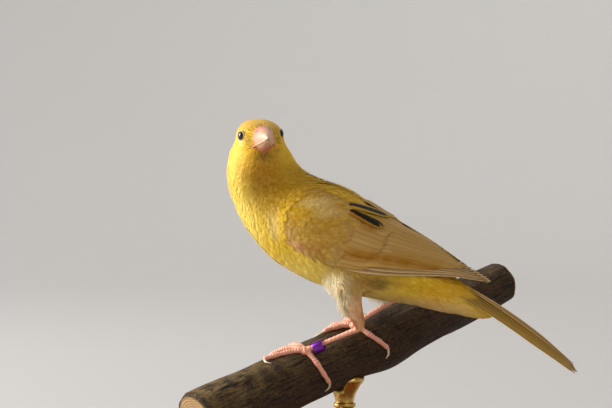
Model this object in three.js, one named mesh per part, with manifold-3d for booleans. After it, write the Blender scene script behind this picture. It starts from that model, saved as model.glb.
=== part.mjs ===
// A life-size yellow canary on a cut length of branch, held by a plain display stand.
// Millimetres, +Z up. The bird faces -X and its left side is -Y. The origin is the middle of
// the stand's underside. Everything above the stand is built round the left foot, then lifted.
import * as THREE from 'three';
import { mergeVertices } from 'three/addons/utils/BufferGeometryUtils.js';
import Module from 'manifold-3d';

const wasm = await Module();
wasm.setup();

// Driving dimensions
const GAP = 0.3;
const FOOT_HEIGHT = 52;
const STAND = { diameter: 104, height: 12, rod: 6, flange: 17, saddle: 13 };
const PERCH = { radius: 9.5, back: 43, front: 88, heading: 47, slope: 18.2, start: [-1, -1.6, -8.3] };
const HEAD = { centre: [-14.4, -5.2, 67.3], heading: -68, pitch: 2, roll: -3.3, squareness: 0.82 };
const BEAK_LENGTH = 8.6;
const EYE = { ball: 1.75, opening: 1.42, forward: 4.6, side: 6.6, up: 2.4, splay: 58, lid: 0.36 };
const TARSUS = { top: 0.85, low: 0.75 };
const RING = { outer: 4.1, inner: 3.2, height: 3.4 };
const WING = { primaries: 9, secondaries: 6, tertials: 3, coverts: 8, vane: 0.5 };
const TAIL = { pairs: 6, vane: 0.5, thin: 0.28, width: 5.2, arch: 1.2 };
const ROD_AT = 18;
const TILT = 0.45;

const PAINT = {
  plumage: { color: 0xe8cd57, roughness: 0.9 },
  wing: { color: 0xd9b94e, roughness: 0.8 },
  tail: { color: 0xcdb56c, roughness: 0.8 },
  beak: { color: 0xdfa08c, roughness: 0.45 },
  eye: { color: 0x0b0908, roughness: 0.08 },
  leg: { color: 0xdf9078, roughness: 0.55 },
  claw: { color: 0xdccaa8, roughness: 0.4 },
  ring: { color: 0x7430a0, roughness: 0.3, metalness: 0.9 },
  bark: { color: 0x4b3826, roughness: 0.95 },
  stand: { color: 0x8a5a34, roughness: 0.5 },
  rod: { color: 0xb08d4f, roughness: 0.3, metalness: 1 },
};

const vec = (x, y, z) => new THREE.Vector3(x, y, z);
const radians = THREE.MathUtils.degToRad;
const { lerp, smoothstep } = THREE.MathUtils;

function seeded(seed) {
  let state = seed;
  return () => {
    state = (Math.imul(state, 1664525) + 1013904223) >>> 0;
    return state / 4294967296;
  };
}

// A closed geometry becomes a solid, turned right side out where its mapping mirrored it.
function solid(geometry) {
  geometry.deleteAttribute('normal');
  geometry.deleteAttribute('uv');
  const merged = mergeVertices(geometry, 1e-5);
  const points = merged.attributes.position.array;
  const corners = Uint32Array.from(merged.index.array);
  const [a, b, c] = [vec(0, 0, 0), vec(0, 0, 0), vec(0, 0, 0)];
  let volume = 0;
  for (let i = 0; i < corners.length; i += 3) {
    a.fromArray(points, 3 * corners[i]);
    b.fromArray(points, 3 * corners[i + 1]);
    c.fromArray(points, 3 * corners[i + 2]);
    volume += a.dot(b.cross(c));
  }
  if (volume < 0) corners.reverse();
  return new wasm.Manifold(new wasm.Mesh({ numProp: 3, vertProperties: points, triVerts: corners }));
}

const join = (pieces) => pieces.reduce((whole, piece) => whole.add(piece));

function largest(body) {
  return body.decompose().reduce((best, piece) => (piece.volume() > best.volume() ? piece : best));
}

function remap(geometry, place) {
  const position = geometry.attributes.position;
  for (let i = 0; i < position.count; i += 1) {
    const point = place(vec(position.getX(i), position.getY(i), position.getZ(i)));
    position.setXYZ(i, point.x, point.y, point.z);
  }
  return geometry;
}

// A skin is a smooth body round a spine. Each station is [x, y, z, side, up, down]. Its section
// is an ellipse, or boxier where the squareness is below one.
class Skin {
  constructor(stations, squareness = 1) {
    const spine = stations.map(([x, y, z]) => vec(x, y, z));
    const sizes = stations.map(([, , , across, up, down = up]) => vec(across, up, down));
    this.spine = new THREE.CatmullRomCurve3(spine);
    this.sizes = new THREE.CatmullRomCurve3(sizes);
    this.squareness = squareness;
  }

  frame(t) {
    const tangent = this.spine.getTangent(t);
    const up = vec(0, 1, 0).cross(tangent).normalize();
    const side = tangent.clone().cross(up);
    return { centre: this.spine.getPoint(t), tangent, up, side };
  }

  point(t, angle, lift = 0) {
    const { centre, up, side } = this.frame(t);
    const size = this.sizes.getPoint(t);
    const bulge = (amount) => Math.sign(amount) * Math.abs(amount) ** this.squareness;
    const rise = bulge(Math.sin(angle));
    const reach = Math.max(size.x, 0) + lift;
    const height = Math.max(rise > 0 ? size.y : size.z, 0) + lift;
    return centre.addScaledVector(side, bulge(Math.cos(angle)) * reach).addScaledVector(up, rise * height);
  }

  // The place on the skin that lies straight out from the spine through a point.
  under(point) {
    let t = 0.5;
    for (let step = 0.25; step > 1e-4; step /= 2) {
      const { centre, tangent } = this.frame(t);
      t += point.clone().sub(centre).dot(tangent) > 0 ? step : -step;
    }
    const { centre, up, side } = this.frame(t);
    const size = this.sizes.getPoint(t);
    const away = point.clone().sub(centre);
    const rise = away.dot(up);
    const angle = Math.atan2(rise / (rise > 0 ? size.y : size.z), away.dot(side) / size.x);
    return { t, angle };
  }

  // The whole closed body, grown outwards by a clearance where something is cut by it.
  body(around, rings, grow = 0) {
    const ball = new THREE.SphereGeometry(1, around, rings);
    const first = this.frame(0);
    const last = this.frame(1);
    return remap(ball, (point) => {
      const t = Math.acos(THREE.MathUtils.clamp(point.y, -1, 1)) / Math.PI;
      if (t < 1e-4) return first.centre.clone().addScaledVector(first.tangent, -grow);
      if (t > 1 - 1e-4) return last.centre.clone().addScaledVector(last.tangent, grow);
      return this.point(t, Math.atan2(point.z, point.x), grow);
    });
  }
}

// A round stem with flat ends, through points that each carry a radius.
function stem(points, around, steps, grow = 0) {
  const spine = new THREE.CatmullRomCurve3(points.map(({ at }) => at));
  const radii = new THREE.CatmullRomCurve3(points.map(({ radius }) => vec(radius, 0, 0)));
  const guide = spine.getTangent(0).cross(vec(0.31, 0.2, 0.93)).normalize();
  return remap(new THREE.CylinderGeometry(1, 1, 1, around, steps), (point) => {
    const t = THREE.MathUtils.clamp(0.5 - point.y, 0, 1);
    const tangent = spine.getTangent(t);
    const side = guide.clone().addScaledVector(tangent, -guide.dot(tangent)).normalize();
    const up = tangent.clone().cross(side);
    const radius = radii.getPoint(t).x + grow;
    const end = t < 1e-4 ? -grow : t > 1 - 1e-4 ? grow : 0;
    return spine.getPoint(t)
      .addScaledVector(side, point.x * radius)
      .addScaledVector(up, point.z * radius)
      .addScaledVector(tangent, end);
  });
}

// A thin curved plate. place(along, across) gives its upper face, and its lower face is the
// same grid moved along depth(along, across), so both faces bend and split alike.
function plate(place, depth, steps, lanes) {
  const grid = new THREE.PlaneGeometry(1, 1, lanes, steps);
  const count = grid.attributes.position.count;
  const points = [];
  for (const face of [0, 1]) {
    for (let i = 0; i < count; i += 1) {
      const along = 0.5 - grid.attributes.position.getY(i);
      const across = 2 * grid.attributes.position.getX(i);
      const point = place(along, across);
      if (face) point.add(depth(along, across));
      points.push(point.x, point.y, point.z);
    }
  }
  const top = [...grid.index.array];
  const bottom = top.map((corner) => corner + count).reverse();
  const row = lanes + 1;
  const rim = [];
  for (let i = 0; i < lanes; i += 1) rim.push(i);
  for (let i = 0; i < steps; i += 1) rim.push(lanes + i * row);
  for (let i = 0; i < lanes; i += 1) rim.push(steps * row + lanes - i);
  for (let i = steps; i > 0; i -= 1) rim.push(i * row);
  const wall = rim.flatMap((start, i) => {
    const end = rim[(i + 1) % rim.length];
    return [start, end, end + count, start, end + count, start + count];
  });
  const geometry = new THREE.BufferGeometry();
  geometry.setAttribute('position', new THREE.Float32BufferAttribute(points, 3));
  geometry.setIndex([...top, ...bottom, ...wall]);
  return geometry;
}

// Everything on the far side of a plane, as a block to cut or keep with.
function beyond({ at, normal }, shift = 0) {
  const reach = 200;
  const block = new THREE.BoxGeometry(reach, reach, reach);
  block.translate(0, 0, reach / 2 + shift);
  block.applyQuaternion(new THREE.Quaternion().setFromUnitVectors(vec(0, 0, 1), normal));
  block.translate(at.x, at.y, at.z);
  return solid(block);
}

const object = new THREE.Group();
const bird = new THREE.Group();
bird.name = 'bird_on_perch';

function node(name, body, paint) {
  const { vertProperties, triVerts } = largest(body).getMesh();
  const geometry = new THREE.BufferGeometry();
  geometry.setAttribute('position', new THREE.Float32BufferAttribute(vertProperties, 3));
  geometry.setIndex([...triVerts]);
  const mesh = new THREE.Mesh(geometry, new THREE.MeshStandardMaterial(paint));
  mesh.name = name;
  bird.add(mesh);
}

// The perch: a bark-covered branch with sawn ends, thinner towards its far end.
const perchRun = Math.cos(radians(PERCH.slope));
const perchAxis = vec(
  perchRun * Math.cos(radians(PERCH.heading)),
  perchRun * Math.sin(radians(PERCH.heading)),
  Math.sin(radians(PERCH.slope)),
);
const perchNear = perchAxis.clone().cross(vec(0, 0, 1)).normalize();
const perchOver = perchNear.clone().cross(perchAxis);

function perchRadius(t, angle) {
  const taper = t < 40 ? PERCH.radius - 0.012 * t : PERCH.radius - 0.5 - 0.045 * (t - 40);
  const knot = 1.6 * Math.exp(-(((t - 33) / 9) ** 2)) * Math.max(0, -Math.sin(angle));
  const ridges = 0.22 * Math.sin(3 * angle + 0.08 * t) + 0.14 * Math.sin(7 * angle - 0.21 * t);
  return taper + knot + ridges;
}

function perchPoint(t, angle, lift = 0) {
  const radius = perchRadius(t, angle) + lift;
  return vec(...PERCH.start)
    .addScaledVector(perchAxis, t)
    .addScaledVector(perchNear, Math.cos(angle) * radius)
    .addScaledVector(perchOver, Math.sin(angle) * radius);
}

function perchBody(grow = 0) {
  const round = new THREE.CylinderGeometry(1, 1, 1, 22, 20);
  return solid(remap(round, (point) => {
    const t = lerp(-PERCH.back - grow, PERCH.front + grow, point.y + 0.5);
    const inwards = Math.hypot(point.x, point.z);
    const angle = Math.atan2(point.z, point.x);
    const centre = perchPoint(t, 0, -perchRadius(t, 0));
    return inwards < 0.5 ? centre : perchPoint(t, angle, grow);
  }));
}

const perchGrown = perchBody(GAP);
node('perch', perchBody(), PAINT.bark);

// The stand: a turned round base with one rod, which ends in a saddle under the perch.
const rodFoot = vec(...PERCH.start).addScaledVector(perchAxis, ROD_AT);
const baseFloor = -FOOT_HEIGHT;
const baseTop = baseFloor + STAND.height;
const turned = (profile, around) => {
  const lathe = new THREE.LatheGeometry(profile.map(([x, y]) => new THREE.Vector2(x, y)), around);
  lathe.rotateX(Math.PI / 2);
  return lathe.translate(rodFoot.x, rodFoot.y, 0);
};
const baseRadius = STAND.diameter / 2;
node('stand_base', solid(turned([
  [0, baseFloor],
  [baseRadius - 1, baseFloor],
  [baseRadius, baseFloor + 1],
  [baseRadius, baseFloor + 5],
  [baseRadius - 2, baseFloor + 6.5],
  [baseRadius - 4, baseFloor + 7.5],
  [baseRadius - 5.5, baseTop - 1],
  [baseRadius - 7, baseTop],
  [0, baseTop],
], 36)), PAINT.stand);
const rodRadius = STAND.rod / 2;
const rodTop = rodFoot.z - 4;
node('stand_rod', solid(turned([
  [0, baseTop + GAP],
  [STAND.flange / 2, baseTop + GAP],
  [STAND.flange / 2, baseTop + 2],
  [rodRadius + 1.5, baseTop + 3.2],
  [rodRadius, baseTop + 5],
  [rodRadius, rodTop - 12],
  [rodRadius + 0.8, rodTop - 9],
  [STAND.saddle / 2, rodTop - 5],
  [STAND.saddle / 2, rodTop],
  [0, rodTop],
], 16)).subtract(perchGrown), PAINT.rod);

// Torso and neck: one body from the tail coverts to the nape, parted by thin flat cuts.
const trunk = new Skin([
  [61.2, 0, 10.6, 0.2, 0.2],
  [58, 0, 12.2, 2.4, 2.2],
  [53.5, 0, 14.9, 4.4, 4.2],
  [47.4, 0, 18, 6.4, 5.9],
  [36, 0, 23.5, 9.4, 8.9],
  [21.9, 0, 29.3, 12.7, 12.7],
  [9.3, 0, 35, 14.4, 15],
  [-1.3, 0, 41, 14.5, 15.4],
  [-9.5, -0.2, 47.8, 13.2, 13.5],
  [-14.2, -0.5, 55.3, 11.9, 12],
  [-15.4, -1.2, 61.4, 10.4, 10.6],
  [-15.3, -2.8, 65.4, 7.2, 7.2],
  [-15.1, -3.8, 68.6, 2.4, 2.4],
]);
const throat = new Skin([
  [-13.4, -6.6, 70.5, 0.2, 0.2],
  [-13.6, -7.4, 68, 4.6, 4.6],
  [-13.9, -7, 64, 8.2, 8],
  [-14.5, -5, 59.4, 9.8, 9.8],
  [-14.6, -3, 54.4, 10.4, 10.2],
  [-13.6, -1.4, 49, 8, 8],
  [-12.4, -1, 45, 0.2, 0.2],
]);
const nape = new Skin([
  [-15.3, -2.8, 73.2, 0.2, 0.2],
  [-15.6, -2.2, 70.2, 5.4, 5.4, 7.6],
  [-15.9, -1.5, 66.2, 7.4, 8.3, 9.4],
  [-16, -1.3, 62, 9.3, 9.7, 11],
  [-15.8, -1, 57, 0.2, 0.2],
]);
const tailCut = { at: vec(50.5, 0, 16.6), normal: vec(0.87, 0, -0.49).normalize() };
const neckCut = { at: vec(-12, 0, 51.6), normal: vec(-0.52, 0, 0.85).normalize() };
const headCut = { at: vec(-15.3, 0, 61), normal: vec(-0.04, 0.1, 1).normalize() };
const TRUNK_GRID = [22, 24];
const torsoGrown = solid(trunk.body(...TRUNK_GRID, GAP));
const wingBed = solid(trunk.body(16, 14, 0.85));

// Head: an egg-shaped skull, turned back over the left shoulder, with lids round each eye.
const headTurn = new THREE.Matrix4()
  .makeRotationFromEuler(new THREE.Euler(
    radians(-HEAD.roll), radians(-HEAD.pitch), radians(HEAD.heading), 'ZYX'
  ))
  .setPosition(...HEAD.centre);
const skull = new Skin([
  [-9.8, 0, -0.6, 0.2, 0.2],
  [-8.6, 0, -0.6, 4.6, 4.3, 6.2],
  [-5, 0, -0.4, 7.4, 6.4, 8.2],
  [0, 0, 0, 8.2, 7.1, 7.5],
  [4.4, 0, 0, 7.5, 7.1, 6.3],
  [7.4, 0, 0.1, 5.4, 5.6, 5.1],
  [9.2, 0, 0.2, 3.7, 4.2, 4],
  [9.9, 0, 0.2, 0.2, 0.2],
], HEAD.squareness);
const flesh = join([
  solid(trunk.body(...TRUNK_GRID)),
  solid(throat.body(16, 10)),
  solid(nape.body(14, 8)),
  solid(skull.body(20, 14).applyMatrix4(headTurn)),
]);
const torso = flesh.subtract(beyond(tailCut)).subtract(beyond(neckCut));
node('torso', torso, PAINT.plumage);
node('neck', flesh.intersect(beyond(neckCut, GAP)).subtract(beyond(headCut)), PAINT.plumage);

const beakTip = 9 + BEAK_LENGTH;
const beak = new Skin([
  [6.2, 0, 0.8, 0.2, 0.2],
  [7.2, 0, 0.8, 3.4, 4.4, 4.1],
  [9.4, 0, 0.9, 3.4, 4.3, 4],
  [12.4, 0, 1.1, 2.5, 3.2, 3],
  [15.2, 0, 1.2, 1.3, 1.8, 1.6],
  [beakTip - 0.4, 0, 1, 0.4, 0.5, 0.5],
  [beakTip, 0, 0.8, 0.1, 0.1],
]);
const beakBody = solid(beak.body(14, 12).applyMatrix4(headTurn));
const beakGrown = solid(beak.body(14, 12, GAP).applyMatrix4(headTurn));

// The mouth runs from the gape at the cheek up to just under the tip.
const gape = vec(8.6, 0, -1.3);
const biteRise = Math.atan2(0.7 - gape.z, beakTip - gape.x);
const mouth = {
  at: gape.clone().applyMatrix4(headTurn),
  normal: vec(-Math.sin(biteRise), 0, Math.cos(biteRise)).transformDirection(headTurn),
};
const nostrils = [-1, 1].map((side) => {
  const pit = new THREE.SphereGeometry(0.42, 7, 5);
  pit.translate(10.3, side * 2, 3.9);
  return solid(pit.applyMatrix4(headTurn));
});
node('beak_upper', beakBody.intersect(beyond(mouth, GAP / 2)).subtract(join(nostrils)), PAINT.beak);
node('beak_lower', beakBody.subtract(beyond(mouth, -GAP / 2)), PAINT.beak);

let head = flesh.intersect(beyond(headCut, GAP));
for (const side of [-1, 1]) {
  const facing = vec(Math.cos(radians(EYE.splay)), side * Math.sin(radians(EYE.splay)), 0.05).normalize();
  const rim = vec(EYE.forward, side * EYE.side, EYE.up);
  const depth = Math.sqrt(EYE.ball ** 2 - EYE.opening ** 2);
  const turn = new THREE.Quaternion().setFromUnitVectors(vec(0, 0, 1), facing);
  const ball = (radius, around, rings) => {
    const sphere = new THREE.SphereGeometry(radius, around, rings);
    sphere.rotateX(Math.PI / 2).applyQuaternion(turn);
    sphere.translate(...rim.clone().addScaledVector(facing, -depth));
    return solid(sphere.applyMatrix4(headTurn));
  };
  const lid = new THREE.TorusGeometry(EYE.opening + EYE.lid, EYE.lid, 5, 12);
  lid.applyQuaternion(turn).translate(rim.x, rim.y, rim.z);
  head = head.add(solid(lid.applyMatrix4(headTurn))).subtract(ball(EYE.ball + GAP, 12, 8));
  node(side > 0 ? 'eye_left' : 'eye_right', ball(EYE.ball, 12, 8), PAINT.eye);
}
node('head', head.subtract(beakGrown), PAINT.plumage);

// Wings: each lies on a skin just outside the trunk. Feathers run from (t, angle) to (t, angle).
const mantle = new Skin([
  [70, 0, 13.4, 3.6, 4.2],
  [64, 0, 15.6, 4.6, 5.6],
  [57, 0, 17.7, 5.8, 7.1],
  [47.4, 0, 20.5, 8.6, 9.3, 8],
  [36, 0, 24.6, 11.8, 12, 10.5],
  [21.9, 0, 29.8, 14.8, 15, 14],
  [9.3, 0, 35.3, 16.4, 16.7, 16],
  [-0.5, 0, 40.6, 16.2, 16.4, 16],
  [-8.6, 0, 47.2, 14.4, 14.4, 14.8],
]);

function wing(side) {
  const random = seeded(side > 0 ? 11 : 23);
  // Everything is worked out on the left, and the right wing is its mirror image.
  const mirrored = (make) => (along, across) => {
    const point = make(along, across);
    point.y *= -side;
    return point;
  };
  const on = (t, degrees, lift = 0) => mantle.point(t, Math.PI - radians(degrees), lift);
  const feather = ({ from, to, widths, lift = 0, steps = 4 }) => {
    const root = on(...from);
    const tip = on(...to);
    const chord = tip.clone().sub(root);
    const girth = 0.97 + 0.06 * random();
    const half = (along) => 0.5 * girth * lerp(...widths, along) * lerp(1, 0.4, smoothstep(along, 0.7, 1));
    const spot = (along, across) => {
      const point = root.clone().addScaledVector(chord, along);
      const out = point.clone().sub(mantle.frame(mantle.under(point).t).centre);
      const cross = chord.clone().cross(out).normalize();
      return mantle.under(point.addScaledVector(cross, across * half(along)));
    };
    const sunk = (along) => 1.3 * (1 - smoothstep(along, 0, 0.3));
    const place = (along, across) => {
      const { t, angle } = spot(along, across);
      return mantle.point(t, angle, lift - TILT * across - sunk(along));
    };
    const depth = (along, across) => {
      const { t, angle } = spot(along, across);
      return mantle.point(t, angle, 0).sub(mantle.point(t, angle, 1)).setLength(WING.vane);
    };
    return solid(plate(mirrored(place), mirrored(depth), steps, 1));
  };
  const row = (count, make) => Array.from({ length: count }, (_, i) => feather(make(i / (count - 1))));

  const coreAt = (along, across) => [
    lerp(0.975, 0.4, along),
    lerp(lerp(-38, 20, along), 80, (across + 1) / 2),
  ];
  const core = plate(
    mirrored((along, across) => {
      const edge = Math.max(Math.abs(across), 1 - 5 * along, 0) ** 4;
      return on(...coreAt(along, across), -0.95 - 0.6 * edge);
    }),
    mirrored((along, across) => {
      const [t, degrees] = coreAt(along, across);
      return on(t, degrees).sub(on(t, degrees, 1)).setLength(lerp(3, 1, along));
    }),
    5, 4,
  );
  const tiers = {
    primaries: row(WING.primaries, (k) => ({
      from: [lerp(0.68, 0.44, k), lerp(-26.5, 48, k)],
      to: [lerp(0.222, 0.36, k ** 1.2), lerp(64, 78, k ** 0.5)],
      widths: [1.4, 1.5],
      lift: lerp(-0.3, 0.1, k),
      steps: 3,
    })),
    secondaries: row(WING.secondaries, (k) => ({
      from: [lerp(0.66, 0.62, k), lerp(-12, 48, k)],
      to: [lerp(0.36, 0.43, k), lerp(24, 66, k)],
      widths: [4.4, 2.5],
      lift: lerp(0.35, 0.6, k),
    })),
    tertials: row(WING.tertials, (k) => ({
      from: [lerp(0.66, 0.64, k), lerp(58, 76, k)],
      to: [lerp(0.42, 0.5, k), lerp(69, 78, k)],
      widths: [4, 3],
      lift: lerp(0.6, 0.4, k),
    })),
    greater: row(WING.coverts, (k) => ({
      from: [lerp(0.76, 0.7, k), lerp(-30, 68, k)],
      to: [lerp(0.63, 0.58, k), lerp(-20, 70, k)],
      widths: [5.2, 4.8],
      lift: 0.8,
      steps: 3,
    })),
    median: row(WING.coverts - 1, (k) => ({
      from: [lerp(0.87, 0.79, k), lerp(-34, 68, k)],
      to: [lerp(0.75, 0.69, k), lerp(-30, 68, k)],
      widths: [6, 6.2],
      lift: 0.9,
      steps: 3,
    })),
  };
  return join([solid(core), ...Object.values(tiers).flat()]).subtract(wingBed);
}
const wings = { left: wing(-1), right: wing(1) };
for (const [side, body] of Object.entries(wings)) {
  node(`wing_${side}`, body, PAINT.wing);
}

// Tail: the coverts' cone with six pairs of feathers, roofed over one another and forked.
const tailRoot = vec(52, 0, 21.5);
const tailRun = vec(35.6, 0, -24.8);
const tailSide = vec(0, 1, 0);
const tailUp = tailSide.clone().cross(tailRun).normalize().negate();

// The left half lies over the right half, and no feather crosses another.
function rectrix(pair, side) {
  const fan = pair / (TAIL.pairs - 1);
  const reach = 1 + 0.055 * fan;
  const slope = lerp(0.14, 0.34, fan);
  const inner = side < 0 && pair === 0 ? -1.6 : side > 0 && pair === 0 ? 0.05 : 0.4;
  const lower = side > 0 ? 0.58 : 0;
  return plate(
    (along, across) => {
      const middle = (0.7 + 0.72 * pair) * lerp(0.75, 1, along);
      const taper = lerp(0.7, 1, smoothstep(along, 0, 0.6)) * lerp(1, 0.35, smoothstep(along, 0.6, 1));
      const outwards = Math.max(middle + 0.5 * across * TAIL.width * taper, inner);
      const drop = lower + pair * lerp(0.54, 0.32, along) + (outwards - middle) * slope;
      return tailRoot.clone()
        .addScaledVector(tailRun, along * reach)
        .addScaledVector(tailSide, side * outwards)
        .addScaledVector(tailUp, TAIL.arch * Math.sin(Math.PI * along) - drop);
    },
    (along) => tailUp.clone().multiplyScalar(-lerp(TAIL.vane, TAIL.thin, along)),
    4, 1,
  );
}
const rectrices = [];
for (let pair = 0; pair < TAIL.pairs; pair += 1) {
  for (const side of [-1, 1]) rectrices.push(solid(rectrix(pair, side)));
}
const tailCone = flesh.intersect(beyond(tailCut, GAP));
node('tail', join([tailCone, ...rectrices]).intersect(beyond(tailCut, GAP)), PAINT.tail);

// Legs: a feathered thigh, a scaled tarsus and four toes that hold the perch.
const LEGS = {
  left: {
    hip: vec(11, -8.5, 25), knee: vec(14.5, -9, 18), ankle: vec(19.6, -7.6, 7.6), foot: vec(1.9, -7.7, 0.2),
    girth: 5.4, stance: [0, 55],
    toes: {
      hallux: [[0.3, 46], [0.6, 24], [1.6, 2], [3, -16]],
      inner: [[0.4, 72], [1.2, 94], [1.6, 118]],
      middle: [[-0.8, 72], [-2.6, 96], [-5.2, 120], [-7.4, 138]],
      outer: [[-1.4, 62], [-5, 74], [-9, 82], [-12.2, 86]],
    },
    claws: {
      hallux: [[3.5, -20], [3.6, -32], [2.4, -42]],
      inner: [[1.6, 123], [1.2, 136], [0.4, 144]],
      middle: [[-7.8, 143], [-8.4, 155], [-8.2, 164]],
      outer: [[-12.8, 85], [-13.6, 75], [-12.6, 66]],
    },
  },
  right: {
    hip: vec(20, 9, 27), knee: vec(23, 9.4, 22), ankle: vec(28.6, 9, 16.4), foot: vec(14.8, 8.2, 8),
    girth: 5.2, stance: [22, 64],
    toes: {
      hallux: [[22.6, 54], [24, 34], [26, 14], [28, -2]],
      inner: [[20.8, 76], [17.2, 86], [13.6, 92]],
      middle: [[21.2, 84], [19.4, 106], [17.2, 128], [15.8, 144]],
      outer: [[22.8, 82], [24.2, 104], [25.4, 128]],
    },
    claws: {
      hallux: [[28.5, -6], [28.4, -18], [27.4, -26]],
      inner: [[13, 92], [10.8, 96], [9.4, 104]],
      middle: [[15.4, 149], [14.8, 161], [14.8, 170]],
      outer: [[25.6, 133], [26, 145], [25.6, 154]],
    },
  },
};
const TOE = { root: 1, end: 0.82, claw: 0.56, sharp: 0.12 };

const wingLine = { at: vec(15, 0, 23.2), normal: vec(0.09, 0, 1).normalize() };

for (const [name, leg] of Object.entries(LEGS)) {
  const shin = leg.foot.clone().sub(leg.ankle);
  const along = (distance) => leg.ankle.clone().addScaledVector(shin, distance / shin.length());
  const ankleCut = { at: along(1.2), normal: shin.clone().normalize() };
  const sole = shin.length() - 1.6;
  const thigh = new Skin([
    [...leg.hip, 0.3, 0.3],
    [...leg.hip.clone().lerp(leg.knee, 0.5), leg.girth, leg.girth],
    [...leg.knee, leg.girth * 0.85, leg.girth],
    [...leg.knee.clone().lerp(leg.ankle, 0.55), 2.7, 3.1],
    [...along(0.2), 1.4, 1.5],
    [...along(2.4), 0.9, 0.9],
    [...along(3.4), 0.2, 0.2],
  ]);
  const thighBody = solid(thigh.body(14, 14)).subtract(torsoGrown).subtract(beyond(ankleCut));
  node(`thigh_${name}`, thighBody.subtract(beyond(wingLine)), PAINT.plumage);
  node(`tarsus_${name}`, solid(stem([
    { at: along(1.2 + GAP), radius: TARSUS.top + 0.35 },
    { at: along(3), radius: TARSUS.top },
    { at: along(sole / 2), radius: TARSUS.low },
    { at: along(sole - 2), radius: TARSUS.low },
    { at: along(sole), radius: TARSUS.low + 0.15 },
  ], 9, 8)), PAINT.leg);

  const [footAlong, footAngle] = leg.stance;
  const pad = perchPoint(footAlong, radians(footAngle), 1.1);
  const pieces = [solid(stem([
    { at: along(sole + GAP), radius: TARSUS.low + 0.15 },
    { at: along(sole + 1), radius: 1.1 },
    { at: pad, radius: 1.5 },
  ], 9, 3))];
  const ball = new THREE.SphereGeometry(1.75, 9, 6);
  pieces.push(solid(ball.translate(pad.x, pad.y, pad.z)));
  for (const [digit, path] of Object.entries(leg.toes)) {
    const steps = path.length;
    const route = [pad, ...path.map(([t, degrees], i) => (
      perchPoint(t, radians(degrees), GAP + lerp(TOE.root, TOE.end, (i + 1) / steps))
    ))];
    const joints = route.map((at, i) => ({ at, radius: lerp(TOE.root, TOE.end, i / steps) }));
    pieces.push(solid(stem(joints, 6, 2 * steps)));
    const hook = leg.claws[digit];
    const claw = stem(hook.map(([t, degrees], i) => ({
      at: perchPoint(t, radians(degrees), GAP + lerp(TOE.claw, TOE.sharp, i / 2)),
      radius: lerp(TOE.claw, TOE.sharp, i / 2),
    })), 6, 5);
    node(`claw_${name}_${digit}`, solid(claw).subtract(perchGrown), PAINT.claw);
  }
  node(`foot_${name}`, join(pieces).subtract(perchGrown), PAINT.leg);

  if (name === 'left') {
    const profile = [
      [RING.inner / 2, -RING.height / 2],
      [RING.outer / 2, -RING.height / 2],
      [RING.outer / 2, RING.height / 2],
      [RING.inner / 2, RING.height / 2],
      [RING.inner / 2, -RING.height / 2],
    ];
    const ring = new THREE.LatheGeometry(profile.map(([x, y]) => new THREE.Vector2(x, y)), 20);
    ring.applyQuaternion(new THREE.Quaternion().setFromUnitVectors(vec(0, 1, 0), shin.clone().normalize()));
    const slack = RING.inner / 2 - TARSUS.low - GAP;
    const middle = along(sole - 2.8).add(vec(0, 0, -slack));
    node('leg_ring', solid(ring.translate(middle.x, middle.y, middle.z)), PAINT.ring);
  }
}
bird.position.set(-rodFoot.x, -rodFoot.y, FOOT_HEIGHT);
object.add(bird);

export default object;
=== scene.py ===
import math

import bpy
import numpy as np
from mathutils import Matrix, Vector, noise
from mathutils.bvhtree import BVHTree
from mathutils.kdtree import KDTree


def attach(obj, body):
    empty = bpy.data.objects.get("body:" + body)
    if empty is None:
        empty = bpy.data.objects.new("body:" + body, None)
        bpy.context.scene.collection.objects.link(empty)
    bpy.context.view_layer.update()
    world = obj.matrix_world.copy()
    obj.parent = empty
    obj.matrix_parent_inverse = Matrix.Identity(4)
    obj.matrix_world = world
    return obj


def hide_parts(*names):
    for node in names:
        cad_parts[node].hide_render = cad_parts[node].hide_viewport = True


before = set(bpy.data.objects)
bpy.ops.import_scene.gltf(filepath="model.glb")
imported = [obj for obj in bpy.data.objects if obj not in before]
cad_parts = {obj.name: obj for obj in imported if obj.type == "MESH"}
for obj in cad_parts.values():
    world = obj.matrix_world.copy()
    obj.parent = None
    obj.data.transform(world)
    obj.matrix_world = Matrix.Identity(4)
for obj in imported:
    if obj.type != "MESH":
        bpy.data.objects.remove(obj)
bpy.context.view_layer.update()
bpy.ops.object.select_all(action="DESELECT")

# Camera: a long lens nearly level with the bird, a little to the front of its left side. Every
# place on the bird is measured in millimetres from the pad of its left foot.
MM = 0.001
FOOT = Vector((-0.01066, -0.01091, 0.052))
VIEW = {"azimuth": 12, "elevation": 2, "distance": 1.0, "lens": 180.6}


def at(x, y, z):
    return FOOT + Vector((x, y, z)) * MM


def towards(azimuth, elevation):
    """The direction from the bird to something that looks at it from there."""
    turn, rise = math.radians(azimuth), math.radians(elevation)
    level = math.cos(rise)
    return Vector((math.sin(turn) * level, -math.cos(turn) * level, math.sin(rise)))


aim = at(0, 0, 47.2)
to_camera = towards(VIEW["azimuth"], VIEW["elevation"])
bpy.ops.object.camera_add(location=aim + to_camera * VIEW["distance"])
camera = bpy.context.object
camera.rotation_euler = to_camera.to_track_quat("Z", "Y").to_euler()
camera.data.lens = VIEW["lens"]
camera.data.clip_start = 0.05
bpy.context.scene.camera = camera

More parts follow.
